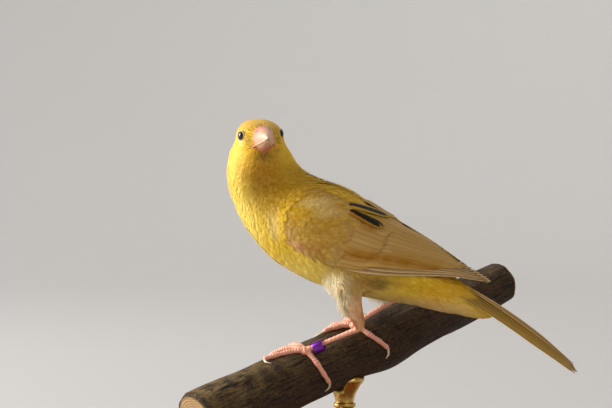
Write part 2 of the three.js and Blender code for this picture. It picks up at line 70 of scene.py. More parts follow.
# Studio: a broad soft lamp on the side that the breast faces, a weak warm fill from the front, a
# lamp for the backdrop, and a wide pale bowl that is floor and backdrop in one, from every side.
PALE = (0.465, 0.462, 0.463)
BOWL = {"floor": 1.15, "bend": 1.1, "wall": 0.3, "rings": 128, "around": 128}
LAMPS = {
    "key": {"azimuth": -84, "elevation": 20, "distance": 1.5, "size": 0.95, "watts": 50.0,
            "colour": (1.0, 0.97, 0.92), "aim": (0, 0, 0)},
    "fill": {"azimuth": 40, "elevation": 25, "distance": 1.3, "size": 0.9, "watts": 3.4,
             "colour": (1.0, 0.95, 0.88), "aim": (0, 0, 0)},
    "backdrop": {"azimuth": 0, "elevation": 80, "distance": 1.2, "size": 1.5, "watts": 15.0,
                 "colour": (1.0, 0.97, 0.94), "aim": (0.3, 1.85, 0.25)},
}
for name, lamp in LAMPS.items():
    aimed = Vector(lamp["aim"]) + aim
    from_bird = towards(lamp["azimuth"], lamp["elevation"])
    bpy.ops.object.light_add(type="AREA", location=aimed + from_bird * lamp["distance"])
    light = bpy.context.object
    light.name = f"lamp_{name}"
    light.rotation_euler = from_bird.to_track_quat("Z", "Y").to_euler()
    light.data.size = lamp["size"]
    light.data.energy = lamp["watts"]
    light.data.color = lamp["colour"]
    light.visible_camera = False

world = bpy.data.worlds.new("studio")
bpy.context.scene.world = world
world.use_nodes = True
world.node_tree.nodes["Background"].inputs["Color"].default_value = (1.0, 0.96, 0.91, 1)
world.node_tree.nodes["Background"].inputs["Strength"].default_value = 0.34
bpy.context.scene.view_settings.view_transform = "Standard"


def edit():
    bpy.ops.object.mode_set(mode="EDIT")
    bpy.ops.mesh.select_all(action="SELECT")


def leave_edit():
    bpy.ops.object.mode_set(mode="OBJECT")


def bowl_profile(share):
    """(radius, height) at a share of the way from the middle of the floor up to the rim."""
    length = share * (BOWL["floor"] + BOWL["bend"] * math.pi / 2 + BOWL["wall"])
    turn = min(max((length - BOWL["floor"]) / BOWL["bend"], 0), math.pi / 2)
    rest = max(length - BOWL["floor"] - BOWL["bend"] * math.pi / 2, 0)
    radius = min(length, BOWL["floor"]) + BOWL["bend"] * math.sin(turn)
    return radius, BOWL["bend"] * (1 - math.cos(turn)) + rest


bpy.ops.mesh.primitive_uv_sphere_add(segments=BOWL["around"], ring_count=BOWL["rings"])
bowl = bpy.context.object
bowl.name = "studio_bowl"
edit()
bpy.ops.mesh.bisect(plane_co=(0, 0, 0.001), plane_no=(0, 0, 1), clear_outer=True)
bpy.ops.mesh.flip_normals()
leave_edit()
for vertex in bowl.data.vertices:
    steep = math.acos(max(-1.0, min(1.0, -vertex.co.z)))
    radius, height = bowl_profile(min(steep / (math.pi / 2), 1))
    around = math.atan2(vertex.co.y, vertex.co.x)
    vertex.co = (radius * math.cos(around), radius * math.sin(around), height)
bpy.ops.object.shade_smooth()


class Nodes:
    """Adds nodes to a material or a group. Inputs are given by name or number, as a value or a socket."""

    def __init__(self, tree):
        self.tree = tree

    def add(self, kind, inputs=(), **settings):
        node = self.tree.nodes.new("ShaderNode" + kind)
        for key, value in settings.items():
            setattr(node, key, value)
        for key, value in dict(inputs).items():
            if isinstance(value, bpy.types.NodeSocket):
                self.tree.links.new(value, node.inputs[key])
            else:
                node.inputs[key].default_value = value
        return node

    def sums(self, operation, a, b=0.0, c=0.0):
        return self.add("Math", {0: a, 1: b, 2: c}, operation=operation).outputs[0]

    def blend(self, factor, a, b, how="MIX"):
        mixed = self.add("Mix", {0: factor, 6: a, 7: b}, data_type="RGBA", blend_type=how)
        return mixed.outputs[2]

    def fade(self, value, low, high, to_low=0.0, to_high=1.0):
        inputs = {0: value, 1: low, 2: high, 3: to_low, 4: to_high}
        return self.add("MapRange", inputs, interpolation_type="SMOOTHSTEP").outputs[0]

    def noise(self, vector, scale, detail=3.0, rough=0.55):
        inputs = {"Vector": vector, "Scale": scale, "Detail": detail, "Roughness": rough}
        return self.add("TexNoise", inputs).outputs["Fac"]

    def vector(self, operation, a, b):
        return self.add("VectorMath", {0: a, 1: b}, operation=operation).outputs[0]

    def scaled(self, vector, scale=1000):
        return self.add("VectorMath", {0: vector, "Scale": scale}, operation="SCALE").outputs[0]

    def length(self, vector):
        return self.add("VectorMath", {0: vector}, operation="LENGTH").outputs["Value"]

    def from_foot(self, place):
        """Millimetres from the left foot's pad."""
        return self.scaled(self.vector("SUBTRACT", place, tuple(FOOT)))

    def stretched(self, vector, scale, turn=(0, 0, 0), move=(0, 0, 0)):
        inputs = {"Vector": vector, "Scale": scale, "Rotation": turn, "Location": move}
        return self.add("Mapping", inputs).outputs[0]


def hue(red, green, blue):
    """A colour as seen, 0 to 255, made linear."""
    return (*(((c / 255 + 0.055) / 1.055) ** 2.4 for c in (red, green, blue)), 1)


def finish(name, roughness=0.5, **sockets):
    """A Principled material: its nodes, its object coordinates, and its shader."""
    made = bpy.data.materials.new(name)
    made.use_nodes = True
    shader = made.node_tree.nodes["Principled BSDF"]
    shader.inputs["Roughness"].default_value = roughness
    for socket, value in sockets.items():
        shader.inputs[socket.replace("_", " ")].default_value = value
    nodes = Nodes(made.node_tree)
    place = nodes.add("TexCoord").outputs["Object"]
    return made, nodes, place, shader


def wear(piece, material, slot=None):
    """Dresses a piece in a material, and hangs it on the part unless it is only staged."""
    piece.data.materials.clear()
    piece.data.materials.append(material)
    if slot:
        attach(piece, "root")


def wire(nodes, shader, **sources):
    for socket, source in sources.items():
        nodes.tree.links.new(source, shader.inputs[socket.replace("_", " ")])


paper, nodes, place, shader = finish("studio paper", 0.9)
tint = nodes.blend(nodes.noise(place, 3, 2), (*PALE, 1), (*(c * 0.97 for c in PALE), 1))
wire(nodes, shader, Base_Color=tint)
wear(bowl, paper)

# Perch: a length of dark branch, sawn off at both ends, with wrinkled bark, breathing pores and
# the swelling of an old knot below. It runs from the near lower left to the far upper right.
PERCH = {"radius": 9.5, "back": 43, "front": 88, "heading": 47, "slope": 18.2,
         "start": (-1, -1.6, -8.3)}
PERCH_RINGS = 236
PERCH_AROUND = 128
END_RINGS = 9
level = math.cos(math.radians(PERCH["slope"]))
perch_axis = Vector((
    level * math.cos(math.radians(PERCH["heading"])),
    level * math.sin(math.radians(PERCH["heading"])),
    math.sin(math.radians(PERCH["slope"])),
))
perch_near = perch_axis.cross(Vector((0, 0, 1))).normalized()
perch_over = perch_near.cross(perch_axis)


def perch_radius(t, angle):
    taper = PERCH["radius"] - (0.012 * t if t < 40 else 0.5 + 0.045 * (t - 40))
    knot = 1.6 * math.exp(-(((t - 33) / 9) ** 2)) * max(0, -math.sin(angle))
    ridges = 0.22 * math.sin(3 * angle + 0.08 * t) + 0.14 * math.sin(7 * angle - 0.21 * t)
    return taper + knot + ridges


def perch_point(t, angle, lift=0.0):
    """A place on the bark, t millimetres along from the foot and lifted off it."""
    radius = perch_radius(t, angle) + lift
    out = perch_near * (math.cos(angle) * radius) + perch_over * (math.sin(angle) * radius)
    return Vector(PERCH["start"]) + perch_axis * t + out


def ringed_body(name, rings, around, place_ring):
    """A closed body made from a ball, each ring of which goes to its own place in millimetres."""
    bpy.ops.mesh.primitive_uv_sphere_add(segments=around, ring_count=rings)
    body = bpy.context.object
    body.name = name
    for vertex in body.data.vertices:
        ring = round(math.acos(max(-1.0, min(1.0, vertex.co.z))) / math.pi * rings)
        vertex.co = at(*place_ring(ring, math.atan2(vertex.co.y, vertex.co.x)))
    edit()
    bpy.ops.mesh.normals_make_consistent(inside=False)
    leave_edit()
    bpy.ops.object.shade_smooth()
    return body


def bark_ring(ring, angle):
    near_end, far_end = ring <= END_RINGS, ring >= PERCH_RINGS - END_RINGS
    along = (ring - END_RINGS) / (PERCH_RINGS - 2 * END_RINGS)
    t = -PERCH["back"] + min(max(along, 0), 1) * (PERCH["back"] + PERCH["front"])
    inwards = min(ring, PERCH_RINGS - ring) / END_RINGS if near_end or far_end else 1
    spot = Vector((math.cos(angle) * 2.2, math.sin(angle) * 2.2, t * 0.05))
    wrinkle = 0.16 * noise.fractal(spot * Vector((2.2, 2.2, 1)), 0.9, 2.1, 4)
    swell = 0.25 * noise.noise(spot * 0.8)
    end = PERCH["front"] if far_end else -PERCH["back"]
    rounding = 0.35 * math.exp(-abs(t - end) / 0.5) if near_end or far_end else 0
    radius = perch_radius(t, angle)
    saw = 0.08 * noise.noise(Vector((math.cos(angle), math.sin(angle), 0)) * inwards * 9)
    sunk = saw * (1 if near_end else -1) if inwards < 1 else 0
    return perch_point(t + sunk, angle, (radius + wrinkle + swell - rounding) * inwards - radius)


perch = ringed_body("perch_bark", PERCH_RINGS, PERCH_AROUND, bark_ring)
bpy.ops.object.shade_smooth_by_angle(angle=math.radians(50))


def group(name, inputs, outputs):
    """A node group with named sockets: its nodes, its inputs and the node that takes its outputs."""
    tree = bpy.data.node_groups.new(name, "ShaderNodeTree")
    kinds = {"V": "NodeSocketVector", "F": "NodeSocketFloat", "C": "NodeSocketColor"}
    for socket, kind in inputs.items():
        tree.interface.new_socket(socket, in_out="INPUT", socket_type=kinds[kind])
    for socket, kind in outputs.items():
        tree.interface.new_socket(socket, in_out="OUTPUT", socket_type=kinds[kind])
    given = tree.nodes.new("NodeGroupInput").outputs
    return Nodes(tree), given, tree.nodes.new("NodeGroupOutput")


def put_out(nodes, result, **sources):
    for socket, source in sources.items():
        nodes.tree.links.new(source, result.inputs[socket])


# Grain is shared by the bark, the sawn ends and the turned base: wavering lines that run along
# the first axis of the place it is given, which comes in millimetres.
grain, given, result = group("grain", {"Place": "V", "Fine": "F", "Run": "F"}, {"Line": "F", "Cloud": "F"})
squeeze = grain.add("CombineXYZ", {0: given["Run"], 1: 1.0, 2: 1.0}).outputs[0]
drawn_out = grain.vector("MULTIPLY", given["Place"], squeeze)
lines = grain.noise(drawn_out, given["Fine"], 5, 0.62)
put_out(grain, result, Line=grain.fade(lines, 0.35, 0.65), Cloud=grain.noise(drawn_out, 0.16, 3, 0.5))


def with_group(nodes, tree, **inputs):
    node = nodes.add("Group", node_tree=tree.tree)
    for socket, value in inputs.items():
        if isinstance(value, bpy.types.NodeSocket):
            nodes.tree.links.new(value, node.inputs[socket])
        else:
            node.inputs[socket].default_value = value
    return node.outputs


def bumped(nodes, shader, height, distance, strength=1.0):
    inputs = {"Height": height, "Distance": distance, "Strength": strength}
    wire(nodes, shader, Normal=nodes.add("Bump", inputs).outputs[0])


def turned_place(nodes, place, axis, origin):
    """The place in millimetres, turned so that its first axis runs along the piece."""
    turn = axis.to_track_quat("X", "Z").inverted()
    return nodes.scaled(nodes.stretched(place, (1, 1, 1), turn=turn.to_euler(), move=turn @ -origin))


bark, nodes, place, shader = finish("bark", 0.82, Specular_IOR_Level=0.35)
run = turned_place(nodes, place, perch_axis, at(*PERCH["start"]))
lines = with_group(nodes, grain, Place=run, Fine=1.5, Run=0.09)
fine = with_group(nodes, grain, Place=run, Fine=5.0, Run=0.16)
parts = nodes.add("SeparateXYZ", {0: run}).outputs
# Painted highlight: the bark's upper side is painted a paler tan in mottled streaks, most of all towards the
# branch's lower near end, where the lamp falls.
above = nodes.fade(parts[2], -3, 9.5)
near = nodes.fade(parts[0], 12, -34)
colour = nodes.blend(fine["Line"], hue(38, 24, 13), hue(82, 58, 35))
painted_highlight = nodes.blend(fine["Line"], hue(88, 66, 38), hue(148, 124, 76))
top = nodes.sums("MULTIPLY", above, nodes.fade(nodes.noise(run, 0.22, 4), 0.34, 0.62))
top = nodes.sums("MULTIPLY", top, nodes.sums("MULTIPLY_ADD", near, 0.6, 0.35))
colour = nodes.blend(top, colour, painted_highlight)
colour = nodes.blend(nodes.fade(lines["Line"], 0.0, 0.35), hue(24, 15, 9), colour)
cells = nodes.add("TexVoronoi", {"Vector": nodes.stretched(run, (0.5, 1, 1)), "Scale": 0.42})
pore = nodes.fade(cells.outputs["Distance"], 0.13, 0.04)
colour = nodes.blend(nodes.sums("MULTIPLY", pore, 0.7), colour, hue(120, 88, 58))
sawn = nodes.sums("ADD", nodes.fade(parts[0], -42.2, -42.8), nodes.fade(parts[0], 87.2, 87.8))
from_pith = nodes.length(nodes.add("CombineXYZ", {0: 0.0, 1: parts[1], 2: parts[2]}).outputs[0])
wander = nodes.sums("MULTIPLY_ADD", nodes.noise(run, 0.3, 3), 1.6, from_pith)
years = nodes.fade(nodes.sums("SINE", nodes.sums("MULTIPLY", wander, 7.0)), 0.2, 1.0)
wood = nodes.blend(years, hue(196, 160, 112), hue(150, 110, 68))
wood = nodes.blend(nodes.fade(from_pith, 1.0, 0.3), wood, hue(96, 62, 38))
ends = nodes.sums("MULTIPLY", sawn, nodes.fade(from_pith, 9.2, 8.4))
colour = nodes.blend(ends, colour, wood)
wire(nodes, shader, Base_Color=colour)
relief = nodes.sums("MULTIPLY_ADD", fine["Line"], 0.35, lines["Line"])
relief = nodes.sums("MULTIPLY_ADD", pore, 0.8, relief)
bumped(nodes, shader, relief, 0.00035, 0.9)
wear(perch, bark, "bark")
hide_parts("perch")

# Stand: a turned and waxed hardwood base, and a brass rod with a flange below and a saddle under
# the perch. Both are turned on one axis, which stands near the perch's middle.
STAND = {"diameter": 104, "height": 12, "rod": 6, "flange": 17, "saddle": 13}
ROD_AT = 18
GAP = 0.3
rod_foot = Vector(PERCH["start"]) + perch_axis * ROD_AT
base_floor = -FOOT.z / MM
base_top = base_floor + STAND["height"]


def turned(name, profile, around, bevel, segments):
    """A body turned on the rod's axis, with its arrises rounded. The profile is (radius, height)."""
    def ring(index, angle):
        radius, height = profile[index]
        return rod_foot.x + math.cos(angle) * radius, rod_foot.y + math.sin(angle) * radius, height

    body = ringed_body(name, len(profile) - 1, around, ring)
    rounding = body.modifiers.new("arris", "BEVEL")
    rounding.width = bevel * MM
    rounding.segments = segments
    rounding.limit_method = "ANGLE"
    rounding.angle_limit = math.radians(20)
    bpy.ops.object.modifier_apply(modifier="arris")
    bpy.ops.object.shade_smooth_by_angle(angle=math.radians(35))
    return body


half = STAND["diameter"] / 2
base = turned("stand_base_turned", [
    (0, base_floor),
    (half - 1.2, base_floor),
    (half, base_floor + 1.2),
    (half, base_floor + 4.8),
    (half - 1.8, base_floor + 5.4),
    (half - 2.2, base_floor + 6.4),
    (half - 3.6, base_floor + 7.3),
    (half - 5, base_floor + 9.2),
    (half - 6.2, base_top - 0.6),
    (half - 8, base_top),
    (STAND["flange"] / 2 + 3, base_top),
    (STAND["flange"] / 2 + 2.6, base_top - 0.25),
    (0, base_top - 0.25),
], 128, 0.45, 3)
waxed, nodes, place, shader = finish("waxed hardwood", 0.36, Coat_Weight=0.25, Coat_Roughness=0.2)
board = nodes.stretched(place, (1000, 1000, 1000))
figure = with_group(nodes, grain, Place=board, Fine=0.55, Run=0.05)
pith = nodes.stretched(place, (40, 1000, 1000), move=(0, 34, 60))
wander = nodes.noise(nodes.stretched(board, (0.1, 1, 1)), 0.09, 2)
wander = nodes.sums("MULTIPLY_ADD", wander, 26, nodes.length(pith))
years = nodes.fade(nodes.sums("SINE", nodes.sums("MULTIPLY", wander, 1.5)), -0.6, 1.0)
colour = nodes.blend(years, hue(142, 88, 50), hue(98, 56, 30))
vessels = with_group(nodes, grain, Place=board, Fine=2.6, Run=0.04)
dark = nodes.sums("MULTIPLY", nodes.fade(vessels["Line"], 0.3, 0.0), 0.55)
colour = nodes.blend(dark, colour, hue(58, 32, 18))
colour = nodes.blend(nodes.sums("MULTIPLY", figure["Line"], 0.25), colour, hue(166, 108, 62))
wire(nodes, shader, Base_Color=colour, Roughness=nodes.fade(years, 0, 1, 0.3, 0.46))
bumped(nodes, shader, vessels["Line"], 0.00008, 0.5)
wear(base, waxed, "stand_wood")
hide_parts("stand_base")

rod = STAND["rod"] / 2
rod_top = rod_foot.z - 4
pillar = turned("stand_rod_turned", [
    (0, base_top + GAP),
    (STAND["flange"] / 2 - 0.3, base_top + GAP),
    (STAND["flange"] / 2, base_top + GAP + 0.3),
    (STAND["flange"] / 2, base_top + 1.7),
    (STAND["flange"] / 2 - 0.9, base_top + 2.2),
    (rod + 1.6, base_top + 2.9),
    (rod + 0.5, base_top + 3.9),
    (rod, base_top + 5.2),
    (rod, rod_top - 13.4),
    (rod + 0.7, rod_top - 13),
    (rod + 0.7, rod_top - 12),
    (rod, rod_top - 11.6),
    (rod + 0.6, rod_top - 9),
    (STAND["saddle"] / 2 - 1.2, rod_top - 6),
    (STAND["saddle"] / 2, rod_top - 4.6),
    (STAND["saddle"] / 2, rod_top),
    (0, rod_top),
], 64, 0.2, 3)
bpy.ops.object.select_all(action="DESELECT")
saddle_cut = perch.copy()
saddle_cut.data = perch.data.copy()
bpy.context.scene.collection.objects.link(saddle_cut)
hollow = pillar.modifiers.new("saddle", "BOOLEAN")
hollow.object = saddle_cut
hollow.solver = "EXACT"
bpy.context.view_layer.objects.active = pillar
bpy.ops.object.modifier_apply(modifier="saddle")
bpy.data.objects.remove(saddle_cut)
brass, nodes, place, shader = finish("satin brass", 0.3, Metallic=1.0)
spun = nodes.stretched(place, (300, 300, 9000))
lines = nodes.noise(spun, 1.0, 4)
tarnish = nodes.fade(nodes.noise(place, 160, 4), 0.42, 0.75)
colour = nodes.blend(tarnish, hue(212, 176, 98), hue(158, 118, 62))
rough = nodes.sums("ADD", nodes.fade(lines, 0.2, 0.8, 0.2, 0.34), nodes.sums("MULTIPLY", tarnish, 0.16))
wire(nodes, shader, Base_Color=colour, Roughness=rough)
bumped(nodes, shader, lines, 0.00002, 0.4)
wear(pillar, brass, "stand_brass")
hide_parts("stand_rod")

# Flesh: one skin for trunk, neck, head and thighs, a coat's depth inside the solids, with a low
# pad where each folded wing lies. The feathers below root in it.
def spline(knots, t):
    """Catmull-Rom through evenly spaced knots, at each t from 0 to 1."""
    knots = np.asarray(knots, float)
    spans = len(knots) - 1
    place = np.clip(np.asarray(t, float), 0, 1) * spans
    first = np.minimum(place.astype(int), spans - 1)
    f = (place - first)[..., None]
    padded = np.vstack([2 * knots[0] - knots[1], knots, 2 * knots[-1] - knots[-2]])
    a, b, c, d = (padded[first + k] for k in range(4))
    square, cube = 2 * a - 5 * b + 4 * c - d, 3 * b - a - 3 * c + d
    return 0.5 * (2 * b + (c - a) * f + square * f ** 2 + cube * f ** 3)


def unit(vectors):
    return vectors / np.maximum(np.linalg.norm(vectors, axis=-1, keepdims=True), 1e-9)


class Sleeve:
    """A smooth form round a spine. Each station is (x, y, z, side, up, down) in millimetres."""

    def __init__(self, stations):
        rows = np.array([(*s, s[-1]) if len(s) == 5 else s for s in stations], float)
        self.spine, self.sizes = rows[:, :3], rows[:, 3:]

    def frame(self, t):
        centre = spline(self.spine, t)
        run = unit(spline(self.spine, np.add(t, 0.004)) - spline(self.spine, np.subtract(t, 0.004)))
        up = unit(np.cross((0.0, 1.0, 0.0), run))
        return centre, run, up, np.cross(run, up)

    def point(self, t, angle, lift=0.0):
        centre, _, up, side = self.frame(t)
        size = np.maximum(spline(self.sizes, t), 0)
        height = np.where(np.sin(angle) > 0, size[..., 1], size[..., 2]) + lift
        across = (np.cos(angle) * (size[..., 0] + lift))[..., None]
        return centre + side * across + up * (np.sin(angle) * height)[..., None]

    def under(self, points):
        """(t, angle) of the place on the form that lies straight out through each point."""
        t = np.full(points.shape[:-1], 0.5)
        step = 0.25
        for _ in range(12):
            centre, run, _, _ = self.frame(t)
            t = t + np.where(((points - centre) * run).sum(-1) > 0, step, -step)
            step /= 2
        centre, _, up, side = self.frame(t)
        size = spline(self.sizes, t)
        away = points - centre
        rise = (away * up).sum(-1)
        height = np.where(rise > 0, size[..., 1], size[..., 2])
        return t, np.arctan2(rise / height, (away * side).sum(-1) / size[..., 0])


SIDES = {"left": -1, "right": 1}
mantle = Sleeve([
    (70, 0, 13.4, 3.6, 4.2),
    (64, 0, 15.6, 4.6, 5.6),
    (57, 0, 17.7, 5.8, 7.1),
    (47.4, 0, 20.5, 8.6, 9.3, 8),
    (36, 0, 24.6, 11.8, 12, 10.5),
    (21.9, 0, 29.8, 14.8, 15, 14),
    (9.3, 0, 35.3, 16.4, 16.7, 16),
    (-0.5, 0, 40.6, 16.2, 16.4, 16),
    (-8.6, 0, 47.2, 14.4, 14.4, 14.8),
])
rump = Sleeve([
    (43, 0, 20, 0.3, 0.3),
    (46, 0, 18.8, 5.9, 5.6),
    (51, 0, 16.8, 4.9, 4.9),
    (56, 0, 14.6, 3.9, 3.8),
    (60.5, 0, 12.8, 2.3, 2.2),
    (62.4, 0, 12, 0.3, 0.3),
])
PAD = {"rim": -2.7, "depth": 1.5, "low": -30, "square": 3.5}


def on_mantle(t, degrees, lift, side=-1):
    """A place on the form that the wings fold on, worked out on the left and mirrored for the right."""
    point = mantle.point(np.asarray(t, float), math.pi - np.radians(degrees), lift)
    return point * (1, -side, 1)


def lerp(a, b, k):
    return a + (b - a) * k


def smooth01(value, low, high):
    """Rises smoothly from 0 at low to 1 at high, or falls where high is the smaller."""
    f = np.clip((np.asarray(value, float) - low) / (high - low), 0, 1)
    return f * f * (3 - 2 * f)


def wing_pad(side):
    """The flesh of a folded wing: low under the long feathers, fuller at the shoulder."""
    bpy.ops.mesh.primitive_uv_sphere_add(segments=40, ring_count=28)
    pad = bpy.context.object
    for vertex in pad.data.vertices:
        x, y, z = vertex.co
        t = 0.705 + 0.29 * x
        high = 72 + 22 * float(smooth01(t, 0.58, 0.7))
        full = 0.15 + 0.85 * float(smooth01(t, 0.63, 0.73))
        round_reach = max(math.sqrt(max(1 - x * x, 0)), 0.02)
        square_reach = max(1 - abs(x) ** PAD["square"], 0) ** (1 / PAD["square"])
        y *= square_reach / round_reach
        lift = PAD["rim"] + (full - PAD["rim"]) * z ** 0.6 if z > 0 else PAD["rim"] + PAD["depth"] * z
        vertex.co = at(*on_mantle(t, lerp(PAD["low"], high, (y + 1) / 2), lift, side))
    return pad


def rump_ring(ring, angle):
    return rump.point(ring / 16, angle)


FLESH = ("torso", "neck", "head", "thigh_left", "thigh_right")
PLUGS = ("eye_left", "eye_right", "beak_upper", "beak_lower")
SWELL = 0.8
VOXEL = 0.55
lumps = [ringed_body("rump", 16, 32, rump_ring)]
lumps += [wing_pad(side) for side in SIDES.values()]
for name in FLESH + PLUGS:
    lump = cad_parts[name].copy()
    lump.data = lump.data.copy()
    bpy.context.scene.collection.objects.link(lump)
    lump.parent = None
    for key in list(lump.keys()):
        del lump[key]
    lumps.append(lump)
bpy.ops.object.select_all(action="DESELECT")
for lump in lumps:
    lump.select_set(True)
bpy.context.view_layer.objects.active = lumps[0]
bpy.ops.object.join()
skin = bpy.context.object
skin.name = "skin"
edit()
bpy.ops.mesh.remove_doubles(threshold=1e-6)
bpy.ops.mesh.normals_make_consistent(inside=False)
bpy.ops.transform.shrink_fatten(value=SWELL * MM)
leave_edit()


def apply(piece, kind, **settings):
    """Adds a modifier with these settings and applies it."""
    made = piece.modifiers.new("step", kind)
    for key, value in settings.items():
        setattr(made, key, value)
    bpy.context.view_layer.objects.active = piece
    bpy.ops.object.modifier_apply(modifier="step")


apply(skin, "REMESH", mode="VOXEL", voxel_size=VOXEL * MM)
apply(skin, "SMOOTH", factor=0.5, iterations=12)

# The head's own axes: it is turned back over the left shoulder. Eyes, beak and the marks of the
# face are placed in them, forward, left and up from the middle of the skull.
HEAD = {"centre": (-14.4, -5.2, 67.3), "heading": -68, "pitch": 2, "roll": -3.3}
EYE = {"ball": 1.75, "opening": 1.42, "forward": 4.6, "side": 6.6, "up": 2.4, "splay": 58}
head_turn = (
    Matrix.Rotation(math.radians(HEAD["heading"]), 3, "Z")
    @ Matrix.Rotation(math.radians(-HEAD["pitch"]), 3, "Y")
    @ Matrix.Rotation(math.radians(-HEAD["roll"]), 3, "X")
)


def in_head(x, y, z):
    """A place given forward, left and up from the middle of the skull, in the bird's millimetres."""
    return Vector(HEAD["centre"]) + head_turn @ Vector((x, y, z))


def eye_parts(side):
    splay = math.radians(EYE["splay"])
    facing = head_turn @ Vector((math.cos(splay), side * math.sin(splay), 0.05)).normalized()
    rim = in_head(EYE["forward"], side * EYE["side"], EYE["up"])
    depth = math.sqrt(EYE["ball"] ** 2 - EYE["opening"] ** 2)
    return rim, facing, rim - facing * depth


eye_spots = np.array([eye_parts(side)[0][:] for side in (-1, 1)])
beak_root = np.array(in_head(8.2, 0, 0.3)[:])
head_forward = np.array((head_turn @ Vector((1, 0, 0)))[:])


def coordinates(mesh):
    found = np.empty(len(mesh.vertices) * 3)
    mesh.vertices.foreach_get("co", found)
    return (found.reshape(-1, 3) - np.array(FOOT)) / MM


def normals_of(mesh):
    found = np.empty(len(mesh.vertices) * 3)
    mesh.vertices.foreach_get("normal", found)
    return found.reshape(-1, 3)


def set_coordinates(mesh, points):
    mesh.vertices.foreach_set("co", (points * MM + np.array(FOOT)).ravel())
    mesh.update()


def coat_depth(points):
    """How far the skin lies inside the solids: thin on the face, deep on breast and belly."""
    face = smooth01(np.linalg.norm(points - beak_root, axis=1), 3, 13)
    legs = smooth01(points[:, 2], 8, 22)
    return 0.3 + 0.6 * face * (0.3 + 0.7 * legs)


points = coordinates(skin.data)
set_coordinates(skin.data, points - normals_of(skin.data) * (coat_depth(points) + SWELL)[:, None])
apply(skin, "SMOOTH", factor=0.5, iterations=3)
bpy.ops.object.shade_smooth()

# Plumage colour is one group of broad soft patches, laid by place on the body, so that skin and coat
# carry the same markings: cream on the belly, gold on the neck and rump, a cream painted highlight on
# the breast's edge, the belly's front and the wing's front edge, and painted shade on the throat, the
# flank and behind the thigh.
patch_group, given, result = group(
    "patch", {"Place": "V", "Middle": "V", "Reach": "V", "Soft": "F"}, {"Mask": "F"})
apart = patch_group.vector("SUBTRACT", given["Place"], given["Middle"])
away = patch_group.length(patch_group.vector("DIVIDE", apart, given["Reach"]))
outer = patch_group.sums("ADD", 1.0, given["Soft"])
inner = patch_group.sums("SUBTRACT", 1.0, given["Soft"])
put_out(patch_group, result, Mask=patch_group.fade(away, outer, inner))


def patched(nodes, millimetres, middle, reach, soft, strength, colour, shade):
    """A colour with one soft patch of another shade over it."""
    mask = with_group(nodes, patch_group, Place=millimetres, Middle=middle, Reach=reach, Soft=soft)
    return nodes.blend(nodes.sums("MULTIPLY", mask["Mask"], strength), colour, shade)


# Each patch is (where, middle, reach each way, softness, colour, strength), in millimetres.
BODY_YELLOW = hue(240, 202, 44)
PATCHES = [
    ("crown", (-14, -5, 74), (9, 9, 6), 0.6, hue(190, 148, 70), 0.8),
    ("cheek", (-22, -9, 61), (6, 9, 9), 0.7, hue(222, 180, 70), 0.9),
    # Painted highlight: the breast's edge, where the lamp falls, is painted a paler cream.
    ("breast edge", (-20, -2, 42), (9, 16, 16), 0.7, hue(250, 228, 116), 0.85),
    # Painted shade: the throat under the chin is painted a deep gold.
    ("throat", (-10.5, -15, 56), (7, 9, 9), 0.7, hue(176, 116, 0), 0.9),
    ("neck", (0, -9, 54), (9, 9, 9), 0.7, hue(196, 146, 6), 0.8),
    ("back", (12, 0, 53), (16, 9, 10), 0.7, hue(232, 190, 48), 0.7),
    ("belly", (18, 0, 17), (15, 16, 7), 0.6, hue(230, 206, 122), 0.75),
    # Painted highlight: the belly's front is painted paler.
    ("belly front", (4, -3, 25), (13, 14, 8), 0.7, hue(252, 228, 116), 0.8),
    ("vent", (42, 0, 12), (15, 12, 6), 0.6, hue(228, 190, 130), 0.9),
    ("rump side", (46, 0, 20), (7, 12, 4), 0.7, hue(226, 166, 10), 0.8),
    # Painted highlight: a cream rim along the wing's front edge.
    ("wing front left", (-8.5, -15.5, 37), (2.6, 3, 8), 0.7, hue(246, 226, 168), 0.7),
    ("wing front right", (-8.5, 15.5, 37), (2.6, 3, 8), 0.7, hue(246, 226, 168), 0.7),
    # Painted shade: the flank under the wing is painted a darker olive.
    ("flank", (22, -13, 25), (13, 7, 5), 0.6, hue(176, 134, 60), 0.65),
    ("thigh left", (13, -9, 14), (6.5, 6, 11), 0.5, hue(255, 248, 224), 1.0),
    ("thigh right", (22, 9, 22), (6.5, 6, 10), 0.5, hue(255, 248, 224), 1.0),
    ("shin left", (18.8, -8, 11.5), (2.8, 6, 8.5), 0.5, hue(236, 174, 134), 0.9),
    ("shin right", (27.4, 9, 19), (2.8, 6, 7), 0.5, hue(236, 174, 134), 0.9),
    # Painted shade: the area behind the thigh is painted a darker tan.
    ("behind thigh", (21, -12, 20.5), (5, 6, 4), 0.6, hue(176, 130, 62), 0.8),
    ("flank smudge", (26, -14, 21.5), (3.4, 6, 2.2), 0.6, hue(84, 62, 24), 0.85),
]
FACE = [
    ("lores right", in_head(7.0, -4.3, 0.9), (1.7, 1.7, 1.3), 0.7, hue(122, 82, 34)),
    ("lores left", in_head(7.0, 4.3, 0.9), (1.7, 1.7, 1.3), 0.7, hue(122, 82, 34)),
    ("chin", in_head(8.0, 0, -4.6), (2.6, 2.6, 1.5), 0.6, hue(104, 66, 24)),
    ("eye right surround", in_head(4.6, -7.0, 0.6), (1.8, 1.8, 1.3), 0.7, hue(240, 222, 160)),
]
plumage, given, result = group("plumage colour", {"Place": "V"}, {"Colour": "C"})
millimetres = plumage.from_foot(given["Place"])
colour = plumage.blend(plumage.noise(millimetres, 0.12, 3), BODY_YELLOW, hue(226, 178, 22))
for _, middle, reach, soft, shade, strength in PATCHES:
    colour = patched(plumage, millimetres, middle, reach, soft, strength, colour, shade)
speckle = plumage.fade(plumage.noise(millimetres, 2.1, 2), 0.46, 0.6, 0.25, 0.85)
for _, middle, reach, soft, shade in FACE:
    colour = patched(plumage, millimetres, middle, reach, soft, speckle, colour, shade)
put_out(plumage, result, Colour=colour)

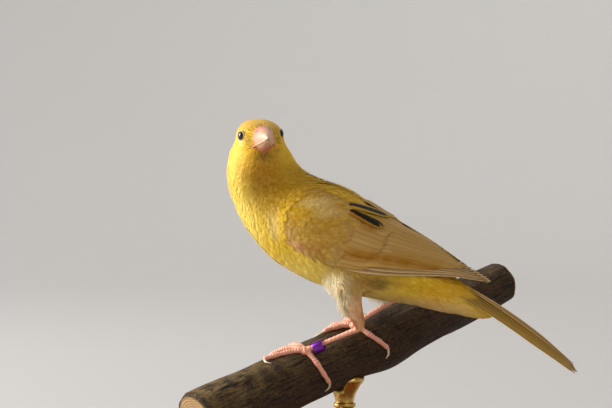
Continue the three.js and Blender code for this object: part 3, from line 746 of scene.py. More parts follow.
down, nodes, place, shader = finish("down and skin", 0.9)
colour = with_group(nodes, plumage, Place=place)["Colour"]
wire(nodes, shader, Base_Color=nodes.blend(0.25, colour, hue(190, 140, 70), "MULTIPLY"))
bumped(nodes, shader, nodes.noise(place, 2600, 3), 0.0002)
edit()
bpy.ops.uv.smart_project(angle_limit=math.radians(66), island_margin=0.002)
leave_edit()
skin.data.uv_layers[0].name = "OFBake"
wear(skin, down, "plumage")
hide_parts(*FLESH)

# Body feathers: thousands of small feathers rooted on the skin, each a fan of fine barb strips that
# lies back over the next. They run away from the beak, down the neck and along the trunk to the tail.
SEED = 7
FEATHER_LIFT = 1.25
BARBS = 9
random = np.random.default_rng(SEED)
trunk = Sleeve([
    (61.2, 0, 10.6, 0.2, 0.2),
    (47.4, 0, 18, 6.4, 5.9),
    (36, 0, 23.5, 9.4, 8.9),
    (21.9, 0, 29.3, 12.7, 12.7),
    (9.3, 0, 35, 14.4, 15),
    (-1.3, 0, 41, 14.5, 15.4),
    (-9.5, -0.2, 47.8, 13.2, 13.5),
    (-14.2, -0.5, 55.3, 11.9, 12),
    (-15.4, -1.2, 61.4, 10.4, 10.6),
    (-15.1, -3.8, 68.6, 2.4, 2.4),
])
SHINS = [((12, -8.7, 24), (19.6, -7.6, 7.6)), ((21, 9, 27), (28.6, 9, 16.4))]


def flow_at(points, normals):
    """Which way the feathers lie at each place on the skin."""
    from_beak = points - beak_root
    near = smooth01(np.linalg.norm(from_beak, axis=1), 20, 5)[:, None]
    t, _ = trunk.under(points)
    _, run, _, _ = trunk.frame(t)
    flow = 1.7 * near * unit(from_beak) - (1 - 0.75 * near) * run
    for hip, ankle in SHINS:
        hip, ankle = np.array(hip), np.array(ankle)
        along = np.clip(((points - hip) @ (ankle - hip)) / ((ankle - hip) @ (ankle - hip)), 0, 1)
        gap = np.linalg.norm(points - (hip + along[:, None] * (ankle - hip)), axis=1)
        hold = smooth01(gap, 9, 4) * smooth01(points[:, 2], 27, 19)
        flow = flow * (1 - hold)[:, None] + unit(ankle - hip) * (2.5 * hold)[:, None]
    flow[:, 2] -= smooth01(-normals[:, 0], 0.1, 0.7) * smooth01(points[:, 2], 28, 20)
    flow -= normals * (flow * normals).sum(1, keepdims=True)
    return unit(flow)


def feather_length(points):
    from_beak = np.linalg.norm(points - beak_root, axis=1)
    length = 0.9 + 1.3 * smooth01(from_beak, 0.5, 9) + 1.9 * smooth01(from_beak, 9, 20)
    length += 2.2 * smooth01(from_beak, 18, 42)
    return length * (0.5 + 0.5 * smooth01(points[:, 2], 6, 17))


def skin_triangles():
    mesh = skin.data
    mesh.calc_loop_triangles()
    count = len(mesh.loop_triangles)
    corners, loops = np.empty(count * 3, int), np.empty(count * 3, int)
    mesh.loop_triangles.foreach_get("vertices", corners)
    mesh.loop_triangles.foreach_get("loops", loops)
    chart = np.empty(len(mesh.loops) * 2)
    mesh.uv_layers["OFBake"].uv.foreach_get("vector", chart)
    return corners.reshape(-1, 3), chart.reshape(-1, 2)[loops.reshape(-1, 3)]


def thinned(points, spacing):
    """Keeps points no closer than their spacing, taken in the order given."""
    tree = KDTree(len(points))
    for index, point in enumerate(points):
        tree.insert(point, index)
    tree.balance()
    alive = np.ones(len(points), bool)
    for index, point in enumerate(points):
        if alive[index]:
            for _, other, _ in tree.find_range(point, spacing[index]):
                if other > index:
                    alive[other] = False
    return alive


skin_points = coordinates(skin.data)
skin_normals = normals_of(skin.data)
corners, charts = skin_triangles()
skin_tree = BVHTree.FromPolygons(skin_points.tolist(), corners.tolist())
edges = skin_points[corners]
areas = 0.5 * np.linalg.norm(np.cross(edges[:, 1] - edges[:, 0], edges[:, 2] - edges[:, 0]), axis=1)
spacings = 0.15 + 0.088 * feather_length(edges.mean(1))
chances = np.cumsum(areas / spacings ** 2)
picked = np.searchsorted(chances, random.random(int(chances[-1] * 3)) * chances[-1])
weights = random.dirichlet((1, 1, 1), len(picked))[:, :, None]
roots = (edges[picked] * weights).sum(1)
kept = thinned(roots, spacings[picked])
roots, picked, weights = roots[kept], picked[kept], weights[kept]
root_normals = unit((skin_normals[corners[picked]] * weights).sum(1))
root_charts = (charts[picked] * weights).sum(1)


def wing_place(points):
    """Where on the mantle a place lies: (t, degrees above the side), the same for both wings."""
    t, angle = mantle.under(points)
    return t, np.degrees(np.arctan2(np.sin(angle), np.abs(np.cos(angle))))


def wing_edge(t):
    """The lower edge of the folded wing, in degrees, which turns up at the shoulder."""
    return -27 + 50 * smooth01(t, 0.88, 1.0) ** 1.5


def bare(points):
    """The places that no body feather grows: the eyes, the beak, and under the long wing feathers."""
    from_eyes = np.min([np.linalg.norm(points - spot, axis=1) for spot in eye_spots], axis=0)
    from_beak = points - beak_root
    in_beak = ((from_beak @ head_forward) > 1.1) & (np.linalg.norm(from_beak, axis=1) < 7)
    t, degrees = wing_place(points)
    hidden = (t > 0.42) & (t < 0.655) & (degrees > -14 + 26 * smooth01(t, 0.66, 0.4)) & (degrees < 64)
    return (from_eyes < 1.5) | in_beak | hidden


grown = ~bare(roots)
roots, root_normals, root_charts = roots[grown], root_normals[grown], root_charts[grown]


def on_skin(points):
    """The nearest places on the skin, and which way out is there."""
    found = [skin_tree.find_nearest(point)[:2] for point in points]
    return np.array([f[0][:] for f in found]), np.array([f[1][:] for f in found])


# A feather has these places along its spine. Those on the wing's pad lie lower and straighter, and
# the pad ends in a slightly uneven line.
STEPS = (0.0, 0.38, 0.74, 1.0)
SHOULDER = {"back": 0.63, "front": 0.965, "top": 68, "off_body": 8}
lengths = feather_length(roots) * random.uniform(0.85, 1.15, len(roots))
wing_t, wing_degrees = wing_place(roots)
uneven = random.uniform(-1, 1, len(roots))
on_pad = (wing_t > SHOULDER["back"]) & (wing_t < SHOULDER["front"] + 0.015 * uneven)
on_pad &= (wing_degrees > wing_edge(wing_t) + 1.5 * uneven) & (wing_degrees < SHOULDER["top"] + 6 * uneven)
on_pad &= np.abs(roots[:, 1]) > SHOULDER["off_body"]
puff = 0.75 * smooth01(wing_t, 0.74, 0.84) * smooth01(wing_degrees, 50, 85)
snug = np.where(on_pad, 0.95, lerp(FEATHER_LIFT, 0.5, smooth01(roots[:, 2], 62, 72)))
depths = coat_depth(roots) * snug + puff
tones = random.random(len(roots))
turns = random.normal(0, 0.09, len(roots)) * np.where(on_pad, 0.4, 1)
spines, outs, sides = [], [], []
here, out = roots, root_normals
for step, fraction in enumerate(STEPS):
    if step:
        here = here + flow * (lengths * (fraction - STEPS[step - 1]))[:, None]
        here, faced = on_skin(here)
        out = unit(0.5 * out + 0.5 * faced)
    flow = flow_at(here, out)
    side = np.cross(out, flow)
    flow = unit(flow + side * turns[:, None])
    spines.append(here)
    outs.append(out)
    sides.append(np.cross(out, flow))

# A feather in a crease, where the skin turns back under it, is left out.
steady = np.linalg.norm(spines[-1] - spines[0], axis=1) > 0.6 * lengths


def barb_strips(chosen):
    """Vertices, faces, charts and shades for every barb strip of the chosen feathers."""
    count = len(chosen)
    across = np.linspace(-1, 1, BARBS)
    ends = 1 - 0.3 * across ** 2 - random.uniform(0, 0.12, (count, BARBS))
    raised = random.normal(0, 0.02, (count, BARBS)) + random.normal(0, 0.03, (count, 1))
    half = (0.19 + 0.2 * lengths[chosen])[:, None] * random.uniform(0.9, 1.1, (count, 1))
    thick = half / BARBS * 1.35
    sway = random.normal(0, 0.13, (count, BARBS)) * np.where(on_pad[chosen], 0.5, 1)[:, None]
    rows, reach, facing = [], [], []
    for fraction in STEPS:
        u = fraction * ends
        position = np.searchsorted(STEPS, u, side="right") - 1
        position = np.clip(position, 0, len(STEPS) - 2)
        low = np.take(STEPS, position)
        f = ((u - low) / (np.take(STEPS, position + 1) - low))[..., None]
        line, normal, side = (
            sum(np.where((position == k)[..., None],
                         values[k][chosen][:, None] * (1 - f) + values[k + 1][chosen][:, None] * f, 0)
                for k in range(len(STEPS) - 1))
            for values in (spines, outs, sides)
        )
        fan = across * half * (0.3 + 0.7 * smooth01(u, 0, 0.6)) * (1 - 0.12 * u ** 2)
        lift = (depths[chosen][:, None] * (0.04 + 0.96 * u ** 0.8)) + raised * u - fan ** 2 / 14
        width = (thick * (1.0 if fraction < 0.7 else 0.8))[..., None]
        middle = line + side * fan[..., None] + normal * lift[..., None]
        edges_here = [middle] if fraction == 1 else [middle - side * width, middle + side * width]
        rows += edges_here
        reach += [u] * len(edges_here)
        faced = unit(normal + side * (0.28 * across + sway)[..., None])
        facing += [faced] * len(edges_here)
    verts = np.stack(rows, 2).reshape(-1, 3)
    reach = np.stack(reach, 2)
    per_strip = len(rows)
    first = np.arange(count * BARBS)[:, None] * per_strip
    quads = np.concatenate([first + (0, 2, 3, 1), first + (2, 4, 5, 3)])
    tips = first + (4, 6, 5)
    patch = np.stack([np.broadcast_to(across[None, :, None], reach.shape), reach], -1) * 0.0015
    patch = (root_charts[chosen][:, None, None] + patch).reshape(-1, 2)
    strand = np.broadcast_to(random.random((count, BARBS, 1)), reach.shape)
    tone = np.broadcast_to(tones[chosen][:, None, None], reach.shape)
    shade = np.stack([tone, reach, strand, np.ones_like(reach)], -1).reshape(-1, 4)
    return verts, [quads, tips], patch, shade, np.stack(facing, 2).reshape(-1, 3)


def mesh_piece(name, verts, face_sets, patch, shade=None, facing=None):
    """A mesh made from arrays, with its OFBake map, a colour and a shading normal at each vertex."""
    corners = np.concatenate([faces.ravel() for faces in face_sets])
    sizes = np.concatenate([np.full(len(faces), faces.shape[1]) for faces in face_sets])
    mesh = bpy.data.meshes.new(name)
    mesh.vertices.add(len(verts))
    mesh.vertices.foreach_set("co", (verts * MM + np.array(FOOT)).ravel())
    mesh.loops.add(len(corners))
    mesh.loops.foreach_set("vertex_index", corners)
    mesh.polygons.add(len(sizes))
    mesh.polygons.foreach_set("loop_start", np.cumsum(sizes) - sizes)
    mesh.update(calc_edges=True)
    mesh.polygons.foreach_set("use_smooth", np.ones(len(sizes), bool))
    chart = mesh.uv_layers.new(name="OFBake")
    chart.uv.foreach_set("vector", patch[corners].ravel())
    if shade is not None:
        layer = mesh.color_attributes.new("feather", "FLOAT_COLOR", "POINT")
        layer.data.foreach_set("color", shade.ravel())
    mesh.validate()
    if facing is not None:
        mesh.normals_split_custom_set_from_vertices(facing)
    piece = bpy.data.objects.new(name, mesh)
    bpy.context.scene.collection.objects.link(piece)
    return piece


def feather_finish(name, coloured):
    """Soft feathers: a colour by place, then each feather's own tone, fine strands and a darker root, which
    is partly the feather's own colour and partly painted shade.
    """
    made, nodes, place, shader = finish(
        name, 0.75, Specular_IOR_Level=0.2,
        Sheen_Weight=0.12, Sheen_Roughness=0.45, Sheen_Tint=(1, 0.8, 0.35, 1))
    feather = nodes.add("SeparateColor", {0: nodes.add("VertexColor", layer_name="feather").outputs[0]})
    tone, reach, strand = feather.outputs
    colour = coloured(nodes, place, tone)
    colour = nodes.blend(nodes.fade(tone, 0, 1, 0.0, 0.2), colour, hue(252, 228, 120))
    colour = nodes.blend(nodes.fade(strand, 0.3, 1, 0.0, 0.2), colour, hue(204, 164, 72), "MULTIPLY")
    # Darker towards the root of each feather: partly its own colour, partly painted shade in the gaps between
    # feathers.
    colour = nodes.blend(nodes.fade(reach, 0.8, 0.25, 0.0, 0.35), colour, hue(226, 190, 120), "MULTIPLY")
    wire(nodes, shader, Base_Color=colour)
    return made


def body_colour(nodes, place, tone):
    return with_group(nodes, plumage, Place=place)["Colour"]


# The wing's small coverts: pinkish buff, gold in the middle, bright yellow at the shoulder, a pale
# band high on the wing that is a painted highlight, and a pink tint low on the bend. Each patch is
# (x, height, reach along, reach up, colour, strength).
WING_PATCHES = [
    (6.5, 41, 7, 4.5, hue(180, 134, 28), 0.75),
    (12, 37, 7, 3, hue(190, 140, 40), 0.6),
    (0.7, 46.6, 5.5, 4.5, hue(204, 156, 0), 1.0),
    # Painted highlight: the next two patches paint a pale band across the top of the wing.
    (6, 48, 5, 1.6, hue(226, 200, 130), 0.7),
    (10.5, 45, 4, 1.6, hue(222, 192, 128), 0.6),
    (5, 33.5, 6, 2.6, hue(176, 118, 48), 0.7),
    (-1.5, 32.8, 3.6, 2.4, hue(214, 150, 122), 0.8),
]


def shoulder_colour(nodes, place, tone):
    millimetres = nodes.from_foot(place)
    mottle = nodes.sums("ADD", nodes.noise(place, 140, 3), nodes.sums("MULTIPLY", tone, 0.1))
    colour = nodes.blend(nodes.fade(mottle, 0.42, 0.7), hue(194, 154, 90), hue(196, 150, 56))
    for x, height, along, up, shade, strength in WING_PATCHES:
        colour = patched(nodes, millimetres, (x, 0, height), (along, 60, up), 0.7, strength, colour, shade)
    return colour


coat = feather_finish("body feathers", body_colour)
shoulder_coat = feather_finish("shoulder feathers", shoulder_colour)
t, _ = trunk.under(roots)
from_beak = np.linalg.norm(roots - beak_root, axis=1)
REGIONS = {
    "coat_shoulders": on_pad & steady,
    "coat_head": from_beak < 15,
    "coat_neck": (from_beak >= 15) & (t > 0.66),
    "coat_belly": (t <= 0.66) & (root_normals[:, 2] < -0.2),
    "coat_flanks": (t <= 0.66) & (np.abs(root_normals[:, 2]) <= 0.6),
    "coat_back": t <= 0.66,
}
left = steady.copy()
for name, here in REGIONS.items():
    chosen = np.nonzero(here & left)[0]
    left[chosen] = False
    piece = mesh_piece(name, *barb_strips(chosen))
    wear(piece, shoulder_coat if name == "coat_shoulders" else coat, "plumage")

# Wings and tail: every flight feather and large covert is a vane of its own, with a ridge along its
# shaft, edges that droop over its neighbour and a soft rounded tip. They are laid in tiers.
ALONG, ACROSS = 26, (-1, -0.8, -0.55, -0.3, -0.09, 0, 0.09, 0.3, 0.55, 0.8, 1)
VANE_THICK = 0.07
TILT = {"primary": 0.45, "secondary": 0.14, "tertial": 0.12, "covert": 0.08}
TAIL = {"pairs": 6, "width": 5.2, "arch": 1.2, "root": (52, 0, 21.5), "run": (35.6, 0, -24.8)}
TAIL["up"] = tuple(unit(np.cross(TAIL["run"], (0, 1, 0))))


def tier(count, make):
    return [make(k / (count - 1)) for k in range(count)]


def gilded(t, degrees):
    """How golden the folded wing is: a band low on it, and a short one below the dark streaks."""
    low = np.exp(-(((degrees - 6 - (0.62 - t) * 120) / 8) ** 2)) * smooth01(t, 0.36, 0.44)
    high = np.exp(-(((degrees - 42) / 7) ** 2)) * smooth01(t, 0.6, 0.65)
    return np.clip(low + high, 0, 1)


def vane(base, tip, widths, lift, side, gold, blunt, kind):
    """One wing feather between two places on the mantle, (t, degrees). One edge lies over the next."""
    along, across = np.meshgrid(np.linspace(0, 1, ALONG) ** 0.85, ACROSS, indexing="ij")
    start, end = on_mantle(*base, 0), on_mantle(*tip, 0)
    chord = end - start
    line = start + chord * along[..., None]
    t, _ = mantle.under(line)
    out = line - mantle.frame(t)[0]
    cross = unit(np.cross(chord, out))
    tip_round = np.sqrt(np.clip(1 - (np.clip(along - (1 - blunt), 0, 1) / blunt) ** 2, 0.012, 1))
    half = 0.5 * lerp(*widths, along) * lerp(0.62, 1, smooth01(along, 0, 0.3)) * tip_round
    half = half * random.uniform(0.96, 1.05)
    half = half * (1 + 0.035 * random.normal(0, 1, along.shape) * smooth01(along, 0.5, 1))
    t, angle = mantle.under(line + cross * (across * half)[..., None])
    ridge = 0.1 * np.exp(-(across / 0.07) ** 2) * smooth01(along, 1, 0.8)
    sunk = 1.5 * smooth01(along, 0.35, 0)
    height = lift + TILT[kind] * across - sunk + ridge - 0.1 * across ** 2
    points = mantle.point(t, angle, height) * (1, -side, 1)
    return points, along, across, gold * gilded(t, np.degrees(np.arctan2(np.sin(angle), -np.cos(angle))))


def rectrix(pair, side):
    """One tail feather. The left half lies over the right half, each feather over the next outer one."""
    along, across = np.meshgrid(np.linspace(0, 1, ALONG), ACROSS, indexing="ij")
    fan = pair / (TAIL["pairs"] - 1)
    middle = (0.7 + 0.72 * pair) * lerp(0.75, 1, along)
    blunt = np.sqrt(np.clip(1 - (np.clip(along - 0.93, 0, 1) / 0.07) ** 2, 0.02, 1))
    taper = lerp(0.7, 1, smooth01(along, 0, 0.6)) * lerp(1, 0.35, smooth01(along, 0.6, 1)) * blunt
    inner = 0.4 if pair else (-1.6 if side < 0 else 0.05)
    outwards = np.maximum(middle + 0.5 * across * TAIL["width"] * taper, inner)
    drop = (0.58 if side > 0 else 0) + pair * lerp(0.54, 0.32, along)
    drop = drop + (outwards - middle) * lerp(0.14, 0.34, fan)
    ridge = 0.12 * np.exp(-(across / 0.07) ** 2)
    reach = along * (1 + 0.055 * fan) - 0.018 * np.abs(across) ** 2 * along
    rise = TAIL["arch"] * np.sin(math.pi * along) - drop + ridge
    root, run, up = (np.array(TAIL[key]) for key in ("root", "run", "up"))
    points = root + run * reach[..., None] + up * rise[..., None]
    points[..., 1] += side * outwards
    return points, along, across, np.full(along.shape, 0.3 * (1 - fan))


def vanes_piece(name, vanes):
    """All the feathers of one tier as a mesh, each with its own cell of the map."""
    rows, columns = ALONG, len(ACROSS)
    cell = np.arange(rows * columns).reshape(rows, columns)
    quad = np.stack([cell[:-1, :-1], cell[:-1, 1:], cell[1:, 1:], cell[1:, :-1]], -1).reshape(-1, 4)
    grid = math.ceil(math.sqrt(len(vanes)))
    verts, faces, patch, shade = [], [], [], []
    for index, (points, along, across, gold) in enumerate(vanes):
        turned = np.cross(points[4, 6] - points[4, 4], points[6, 5] - points[4, 5])
        outwards = points[4, 5] - (points.mean((0, 1)) * (1, 0, 1) - (6, 0, 14))
        faces.append((quad if turned @ outwards > 0 else quad[:, ::-1]) + index * rows * columns)
        verts.append(points.reshape(-1, 3))
        corner = np.array([index % grid, index // grid]) + 0.05
        patch.append(((corner + 0.9 * np.stack([across / 2 + 0.5, along], -1)) / grid).reshape(-1, 2))
        tone = np.full(along.shape, random.random())
        shade.append(np.stack([tone, along, across / 2 + 0.5, gold], -1).reshape(-1, 4))
    joined = [np.concatenate(part) for part in (verts, faces, patch, shade)]
    piece = mesh_piece(name, joined[0], [joined[1]], joined[2], joined[3])
    apply(piece, "SOLIDIFY", thickness=VANE_THICK * MM, offset=-1)
    return piece


# A vane's colour runs from its shaft to its edges, with fine slanting barbs on both sides. The
# tertials carry a dark streak along the shaft, and the gold lies where the vertices say.
tinting, given, result = group(
    "vane colour",
    {"Base": "C", "Edge": "C", "Dark": "C", "Streak": "F", "Tip": "F", "Place": "V"},
    {"Colour": "C", "Barbs": "F"},
)
data = tinting.add("VertexColor", layer_name="feather")
parts = tinting.add("SeparateColor", {0: data.outputs["Color"]}).outputs
tone, along, across = parts
apart = tinting.sums("ABSOLUTE", tinting.sums("SUBTRACT", across, 0.5))
cloud = tinting.noise(given["Place"], 260, 3)
edge = tinting.fade(tinting.sums("ADD", apart, tinting.sums("MULTIPLY", cloud, 0.12)), 0.3, 0.52)
colour = tinting.blend(edge, given["Base"], given["Edge"])
pale_tip = tinting.sums("MULTIPLY", tinting.fade(along, 0.86, 1.0), given["Tip"])
colour = tinting.blend(pale_tip, colour, hue(232, 206, 150))
ragged = tinting.sums("MULTIPLY", tinting.noise(given["Place"], 1300, 2), 0.16)
core = tinting.sums("SUBTRACT", tinting.sums("ADD", apart, ragged), tinting.sums("MULTIPLY", along, 0.34))
streak = tinting.sums("MULTIPLY", tinting.fade(core, 0.19, 0.08), tinting.fade(along, 0.12, 0.22))
ending = tinting.fade(tinting.sums("ADD", along, tinting.sums("MULTIPLY", ragged, 1.6)), 1.12, 1.0)
streak = tinting.sums("MULTIPLY", streak, tinting.sums("MULTIPLY", ending, given["Streak"]))
shaft = tinting.fade(apart, 0.055, 0.015, 0.0, 0.35)
colour = tinting.blend(shaft, colour, hue(120, 84, 50), "MULTIPLY")
rise = tinting.sums("ADD", tinting.sums("MULTIPLY", along, 150.0), tinting.sums("MULTIPLY", apart, -34.0))
barbs = tinting.sums("SINE", tinting.sums("MULTIPLY", rise, 6.2832))
barbs = tinting.sums("ADD", barbs, tinting.noise(given["Place"], 1900, 2))
colour = tinting.blend(tinting.fade(barbs, -1, 1.6, 0.0, 0.22), colour, hue(120, 92, 50), "MULTIPLY")
colour = tinting.blend(tinting.fade(tone, 0, 1, 0.0, 0.25), colour, hue(226, 188, 120))
gilt = tinting.sums("MULTIPLY", data.outputs["Alpha"], tinting.fade(cloud, 0.3, 0.6, 0.65, 1.0))
colour = tinting.blend(gilt, colour, hue(160, 104, 0))
colour = tinting.blend(streak, colour, given["Dark"])
put_out(tinting, result, Colour=colour, Barbs=barbs)

# Each finish is (base, edge, dark, how much streak, how pale a tip).
DARK = hue(16, 10, 4)
VANES = {
    "primary vanes": (hue(182, 142, 92), hue(222, 190, 140), hue(96, 70, 48), 0.25, 0.5),
    "secondary vanes": (hue(190, 150, 86), hue(196, 150, 64), hue(110, 80, 40), 0.0, 0.0),
    "tertial vanes": (hue(176, 130, 30), hue(198, 158, 44), DARK, 1.0, 0.0),
    "covert vanes": (hue(196, 154, 84), hue(200, 156, 72), hue(140, 100, 50), 0.0, 0.0),
    "tail vanes": (hue(176, 136, 70), hue(214, 174, 80), hue(100, 72, 44), 0.3, 0.2),
}
vane_finish = {}
for name, (base, rim, dark, streak, tip) in VANES.items():
    made, nodes, place, shader = finish(
        name, 0.6, Specular_IOR_Level=0.18,
        Sheen_Weight=0.05, Sheen_Roughness=0.4, Sheen_Tint=(1, 0.85, 0.5, 1))
    dressed = with_group(nodes, tinting, Base=base, Edge=rim, Dark=dark, Streak=streak, Tip=tip, Place=place)
    wire(nodes, shader, Base_Color=dressed["Colour"])
    bumped(nodes, shader, dressed["Barbs"], 0.00004, 0.5)
    vane_finish[name] = made

SECONDARY_TIPS = [(0.41, 38), (0.37, 52), (0.335, 66), (0.37, 76), (0.42, 84), (0.47, 88)]
for name, side in SIDES.items():
    primaries = tier(9, lambda k: vane(
        (lerp(0.735, 0.44, k), lerp(-24.5, 48, k)), (lerp(0.222, 0.36, k ** 1.2), lerp(64, 78, k ** 0.5)),
        (1.7, 2.0), lerp(-0.3, 0.1, k), side, 0, 0.12, "primary"))
    secondaries = tier(11, lambda k: vane(
        (lerp(0.68, 0.64, k), lerp(-6, 66, k)), spline(SECONDARY_TIPS, k),
        (4.2, 3.6), lerp(0.25, 0.5, k), side, 1, 0.35, "secondary"))
    tertials = [
        vane((0.78, 47), (0.61, 51), (3.8, 4.0), 0.75, side, 1, 0.25, "tertial"),
        vane((0.78, 50), (0.615, 76), (3.8, 4.0), 0.9, side, 0.6, 0.25, "tertial"),
        vane((0.75, 84), (0.6, 86), (3.6, 3.8), 0.6, side, 0.3, 0.3, "tertial"),
    ]
    greater = tier(15, lambda k: vane(
        (lerp(0.73, 0.71, k), lerp(-15, 80, k)),
        (lerp(0.6, 0.575, k) + random.uniform(-0.008, 0.008), lerp(-6, 82, k)),
        (4.2, 4.6), lerp(-0.3, 0.3, min(k / 0.25, 1)), side, 1, 0.5, "covert"))
    layers = {
        f"primaries_{name}": (primaries, "primary vanes"),
        f"secondaries_{name}": (secondaries, "secondary vanes"),
        f"tertials_{name}": (tertials[:2], "tertial vanes"),
        f"coverts_{name}": (greater + tertials[2:], "covert vanes"),
    }
    for label, (vanes, material) in layers.items():
        piece = vanes_piece(label, vanes)
        wear(piece, vane_finish[material], "wing_feathers")
        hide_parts(f"wing_{name}")

rectrices = [rectrix(pair, side) for pair in range(TAIL["pairs"]) for side in (-1, 1)]
tail = vanes_piece("tail_feathers", rectrices)
wear(tail, vane_finish["tail vanes"], "tail_feathers")
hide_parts("tail")

# Tubes: closed round-ended bodies along a smooth path. The gape, the tarsi, the toes and the claws
# are made of them.
def path_frames(knots, u):
    """Centre, run, across and up at each place along a path."""
    knots = np.asarray(knots, float)
    centre = spline(knots, u)
    run = unit(spline(knots, np.minimum(u + 0.01, 1)) - spline(knots, np.maximum(u - 0.01, 0)))
    bend = np.cross(knots[1] - knots[0], knots[-1] - knots[-2])
    if np.linalg.norm(bend) < 1e-3:
        bend = np.cross(knots[-1] - knots[0], (0.3, 0.2, 1.0))
    across = unit(bend - run * (run @ bend)[:, None])
    return centre, run, across, np.cross(run, across)


def tube(name, knots, radii, rings=48, around=18, flat=1.0):
    """A closed round-ended body along a path. flat squeezes it sideways."""
    s = np.arange(rings + 1) / rings
    cap = 3 / rings
    centre, run, across, up = path_frames(knots, np.clip((s - cap) / (1 - 2 * cap), 0, 1))
    radius = spline(np.asarray(radii, float)[:, None], np.clip((s - cap) / (1 - 2 * cap), 0, 1))[:, 0]
    ending = np.clip(np.minimum(s, 1 - s) / cap, 0, 1) * math.pi / 2
    centre = centre + run * (np.where(s < 0.5, -1, 1) * np.cos(ending) * radius)[:, None]
    radius = radius * np.sin(ending)

    def place(ring, angle):
        spread = across[ring] * (math.cos(angle) * flat) + up[ring] * math.sin(angle)
        return centre[ring] + spread * radius[ring]

    return ringed_body(name, rings, around, place)


def joined(name, pieces):
    bpy.ops.object.select_all(action="DESELECT")
    for piece in pieces:
        piece.select_set(True)
    bpy.context.view_layer.objects.active = pieces[0]
    bpy.ops.object.join()
    bpy.context.object.name = name
    return bpy.context.object


def shade_points(piece, *channels):
    """Keeps up to four values at each vertex for the material to read."""
    count = len(piece.data.vertices)
    values = np.ones((count, 4))
    for index, channel in enumerate(channels):
        values[:, index] = channel
    layer = piece.data.color_attributes.new("marks", "FLOAT_COLOR", "POINT")
    layer.data.foreach_set("color", values.ravel())


def marks(nodes):
    return nodes.add("SeparateColor", {0: nodes.add("VertexColor", layer_name="marks").outputs[0]}).outputs


# Eyes: wet dark brown balls, each in a ring of pale beaded lid that is a little longer than high.
# They look sideways and forwards from the head, so both show from the front.
HEAD_SIDES = {"left": 1, "right": -1}
wet, nodes, place, shader = finish("wet eye", 0.08, Specular_IOR_Level=0.45)
iris = nodes.blend(nodes.noise(place, 900, 3), hue(14, 9, 7), hue(30, 18, 12))
wire(nodes, shader, Base_Color=iris)
lid_skin, nodes, place, shader = finish("lid skin", 0.6, Sheen_Weight=0.3)
tint = nodes.blend(nodes.noise(place, 1500, 3), hue(206, 184, 120), hue(150, 128, 84))
wire(nodes, shader, Base_Color=tint)
bumped(nodes, shader, nodes.noise(place, 4200, 2), 0.00006, 0.6)
LID = {"radius": 1.52, "thick": 0.2, "beads": 26, "bead": 0.03}
for name, side in HEAD_SIDES.items():
    rim, facing, middle = eye_parts(side)
    turn = facing.to_track_quat("Z", "Y").to_matrix()
    bpy.ops.mesh.primitive_uv_sphere_add(segments=64, ring_count=32)
    ball = bpy.context.object
    ball.name = f"eyeball_{name}"
    for vertex in ball.data.vertices:
        vertex.co = at(*(middle + turn @ (vertex.co * EYE["ball"])))
    bpy.ops.object.shade_smooth()
    wear(ball, wet, "eye")
    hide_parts(f"eye_{name}")
    bpy.ops.mesh.primitive_torus_add(major_segments=104, minor_segments=14, major_radius=1, minor_radius=0.5)
    lid = bpy.context.object
    lid.name = f"lid_{name}"
    for vertex in lid.data.vertices:
        x, y, z = vertex.co
        circle = math.atan2(y, x)
        outer = (math.hypot(x, y) - 1) * 2
        thick = LID["thick"] + LID["bead"] * math.sin(LID["beads"] * circle)
        radius = LID["radius"] + outer * thick
        low = 0.12 * math.cos(2 * circle)
        x, y = math.cos(circle) * (radius - low), math.sin(circle) * (radius + low * 0.4)
        vertex.co = at(*(rim + turn @ Vector((x, y, 2 * z * thick))))
    bpy.ops.object.shade_smooth()
    wear(lid, lid_skin, "plumage")

# Beak: two horny halves with a mouth line that climbs from the gape to the tip, nostrils high at
# the base with painted shade in their openings, and pale cutting edges that are partly their own
# colour and partly a painted highlight. Everything is placed in the head's own axes.
beak_form = Sleeve([
    (6.2, 0, 0.8, 0.2, 0.2),
    (7.2, 0, 0.8, 3.4, 4.4, 4.1),
    (9.4, 0, 0.9, 3.4, 4.3, 4),
    (12.4, 0, 1.1, 2.5, 3.2, 3),
    (15.2, 0, 1.2, 1.3, 1.8, 1.6),
    (17.2, 0, 1, 0.4, 0.5, 0.5),
    (17.6, 0, 0.8, 0.1, 0.1),
])
GAPE = (8.6, -1.3)
BITE = {"tip": 17.6, "rise": 0.7, "gap": 0.05, "sag": 0.35}
NOSTRIL = {"x": 10.3, "y": 2.0, "z": 3.9, "reach": 0.42, "deep": 0.42}


def bite_height(x):
    along = np.clip((x - GAPE[0]) / (BITE["tip"] - GAPE[0]), 0, 1)
    return lerp(GAPE[1], BITE["rise"], along) - BITE["sag"] * np.sin(math.pi * along)


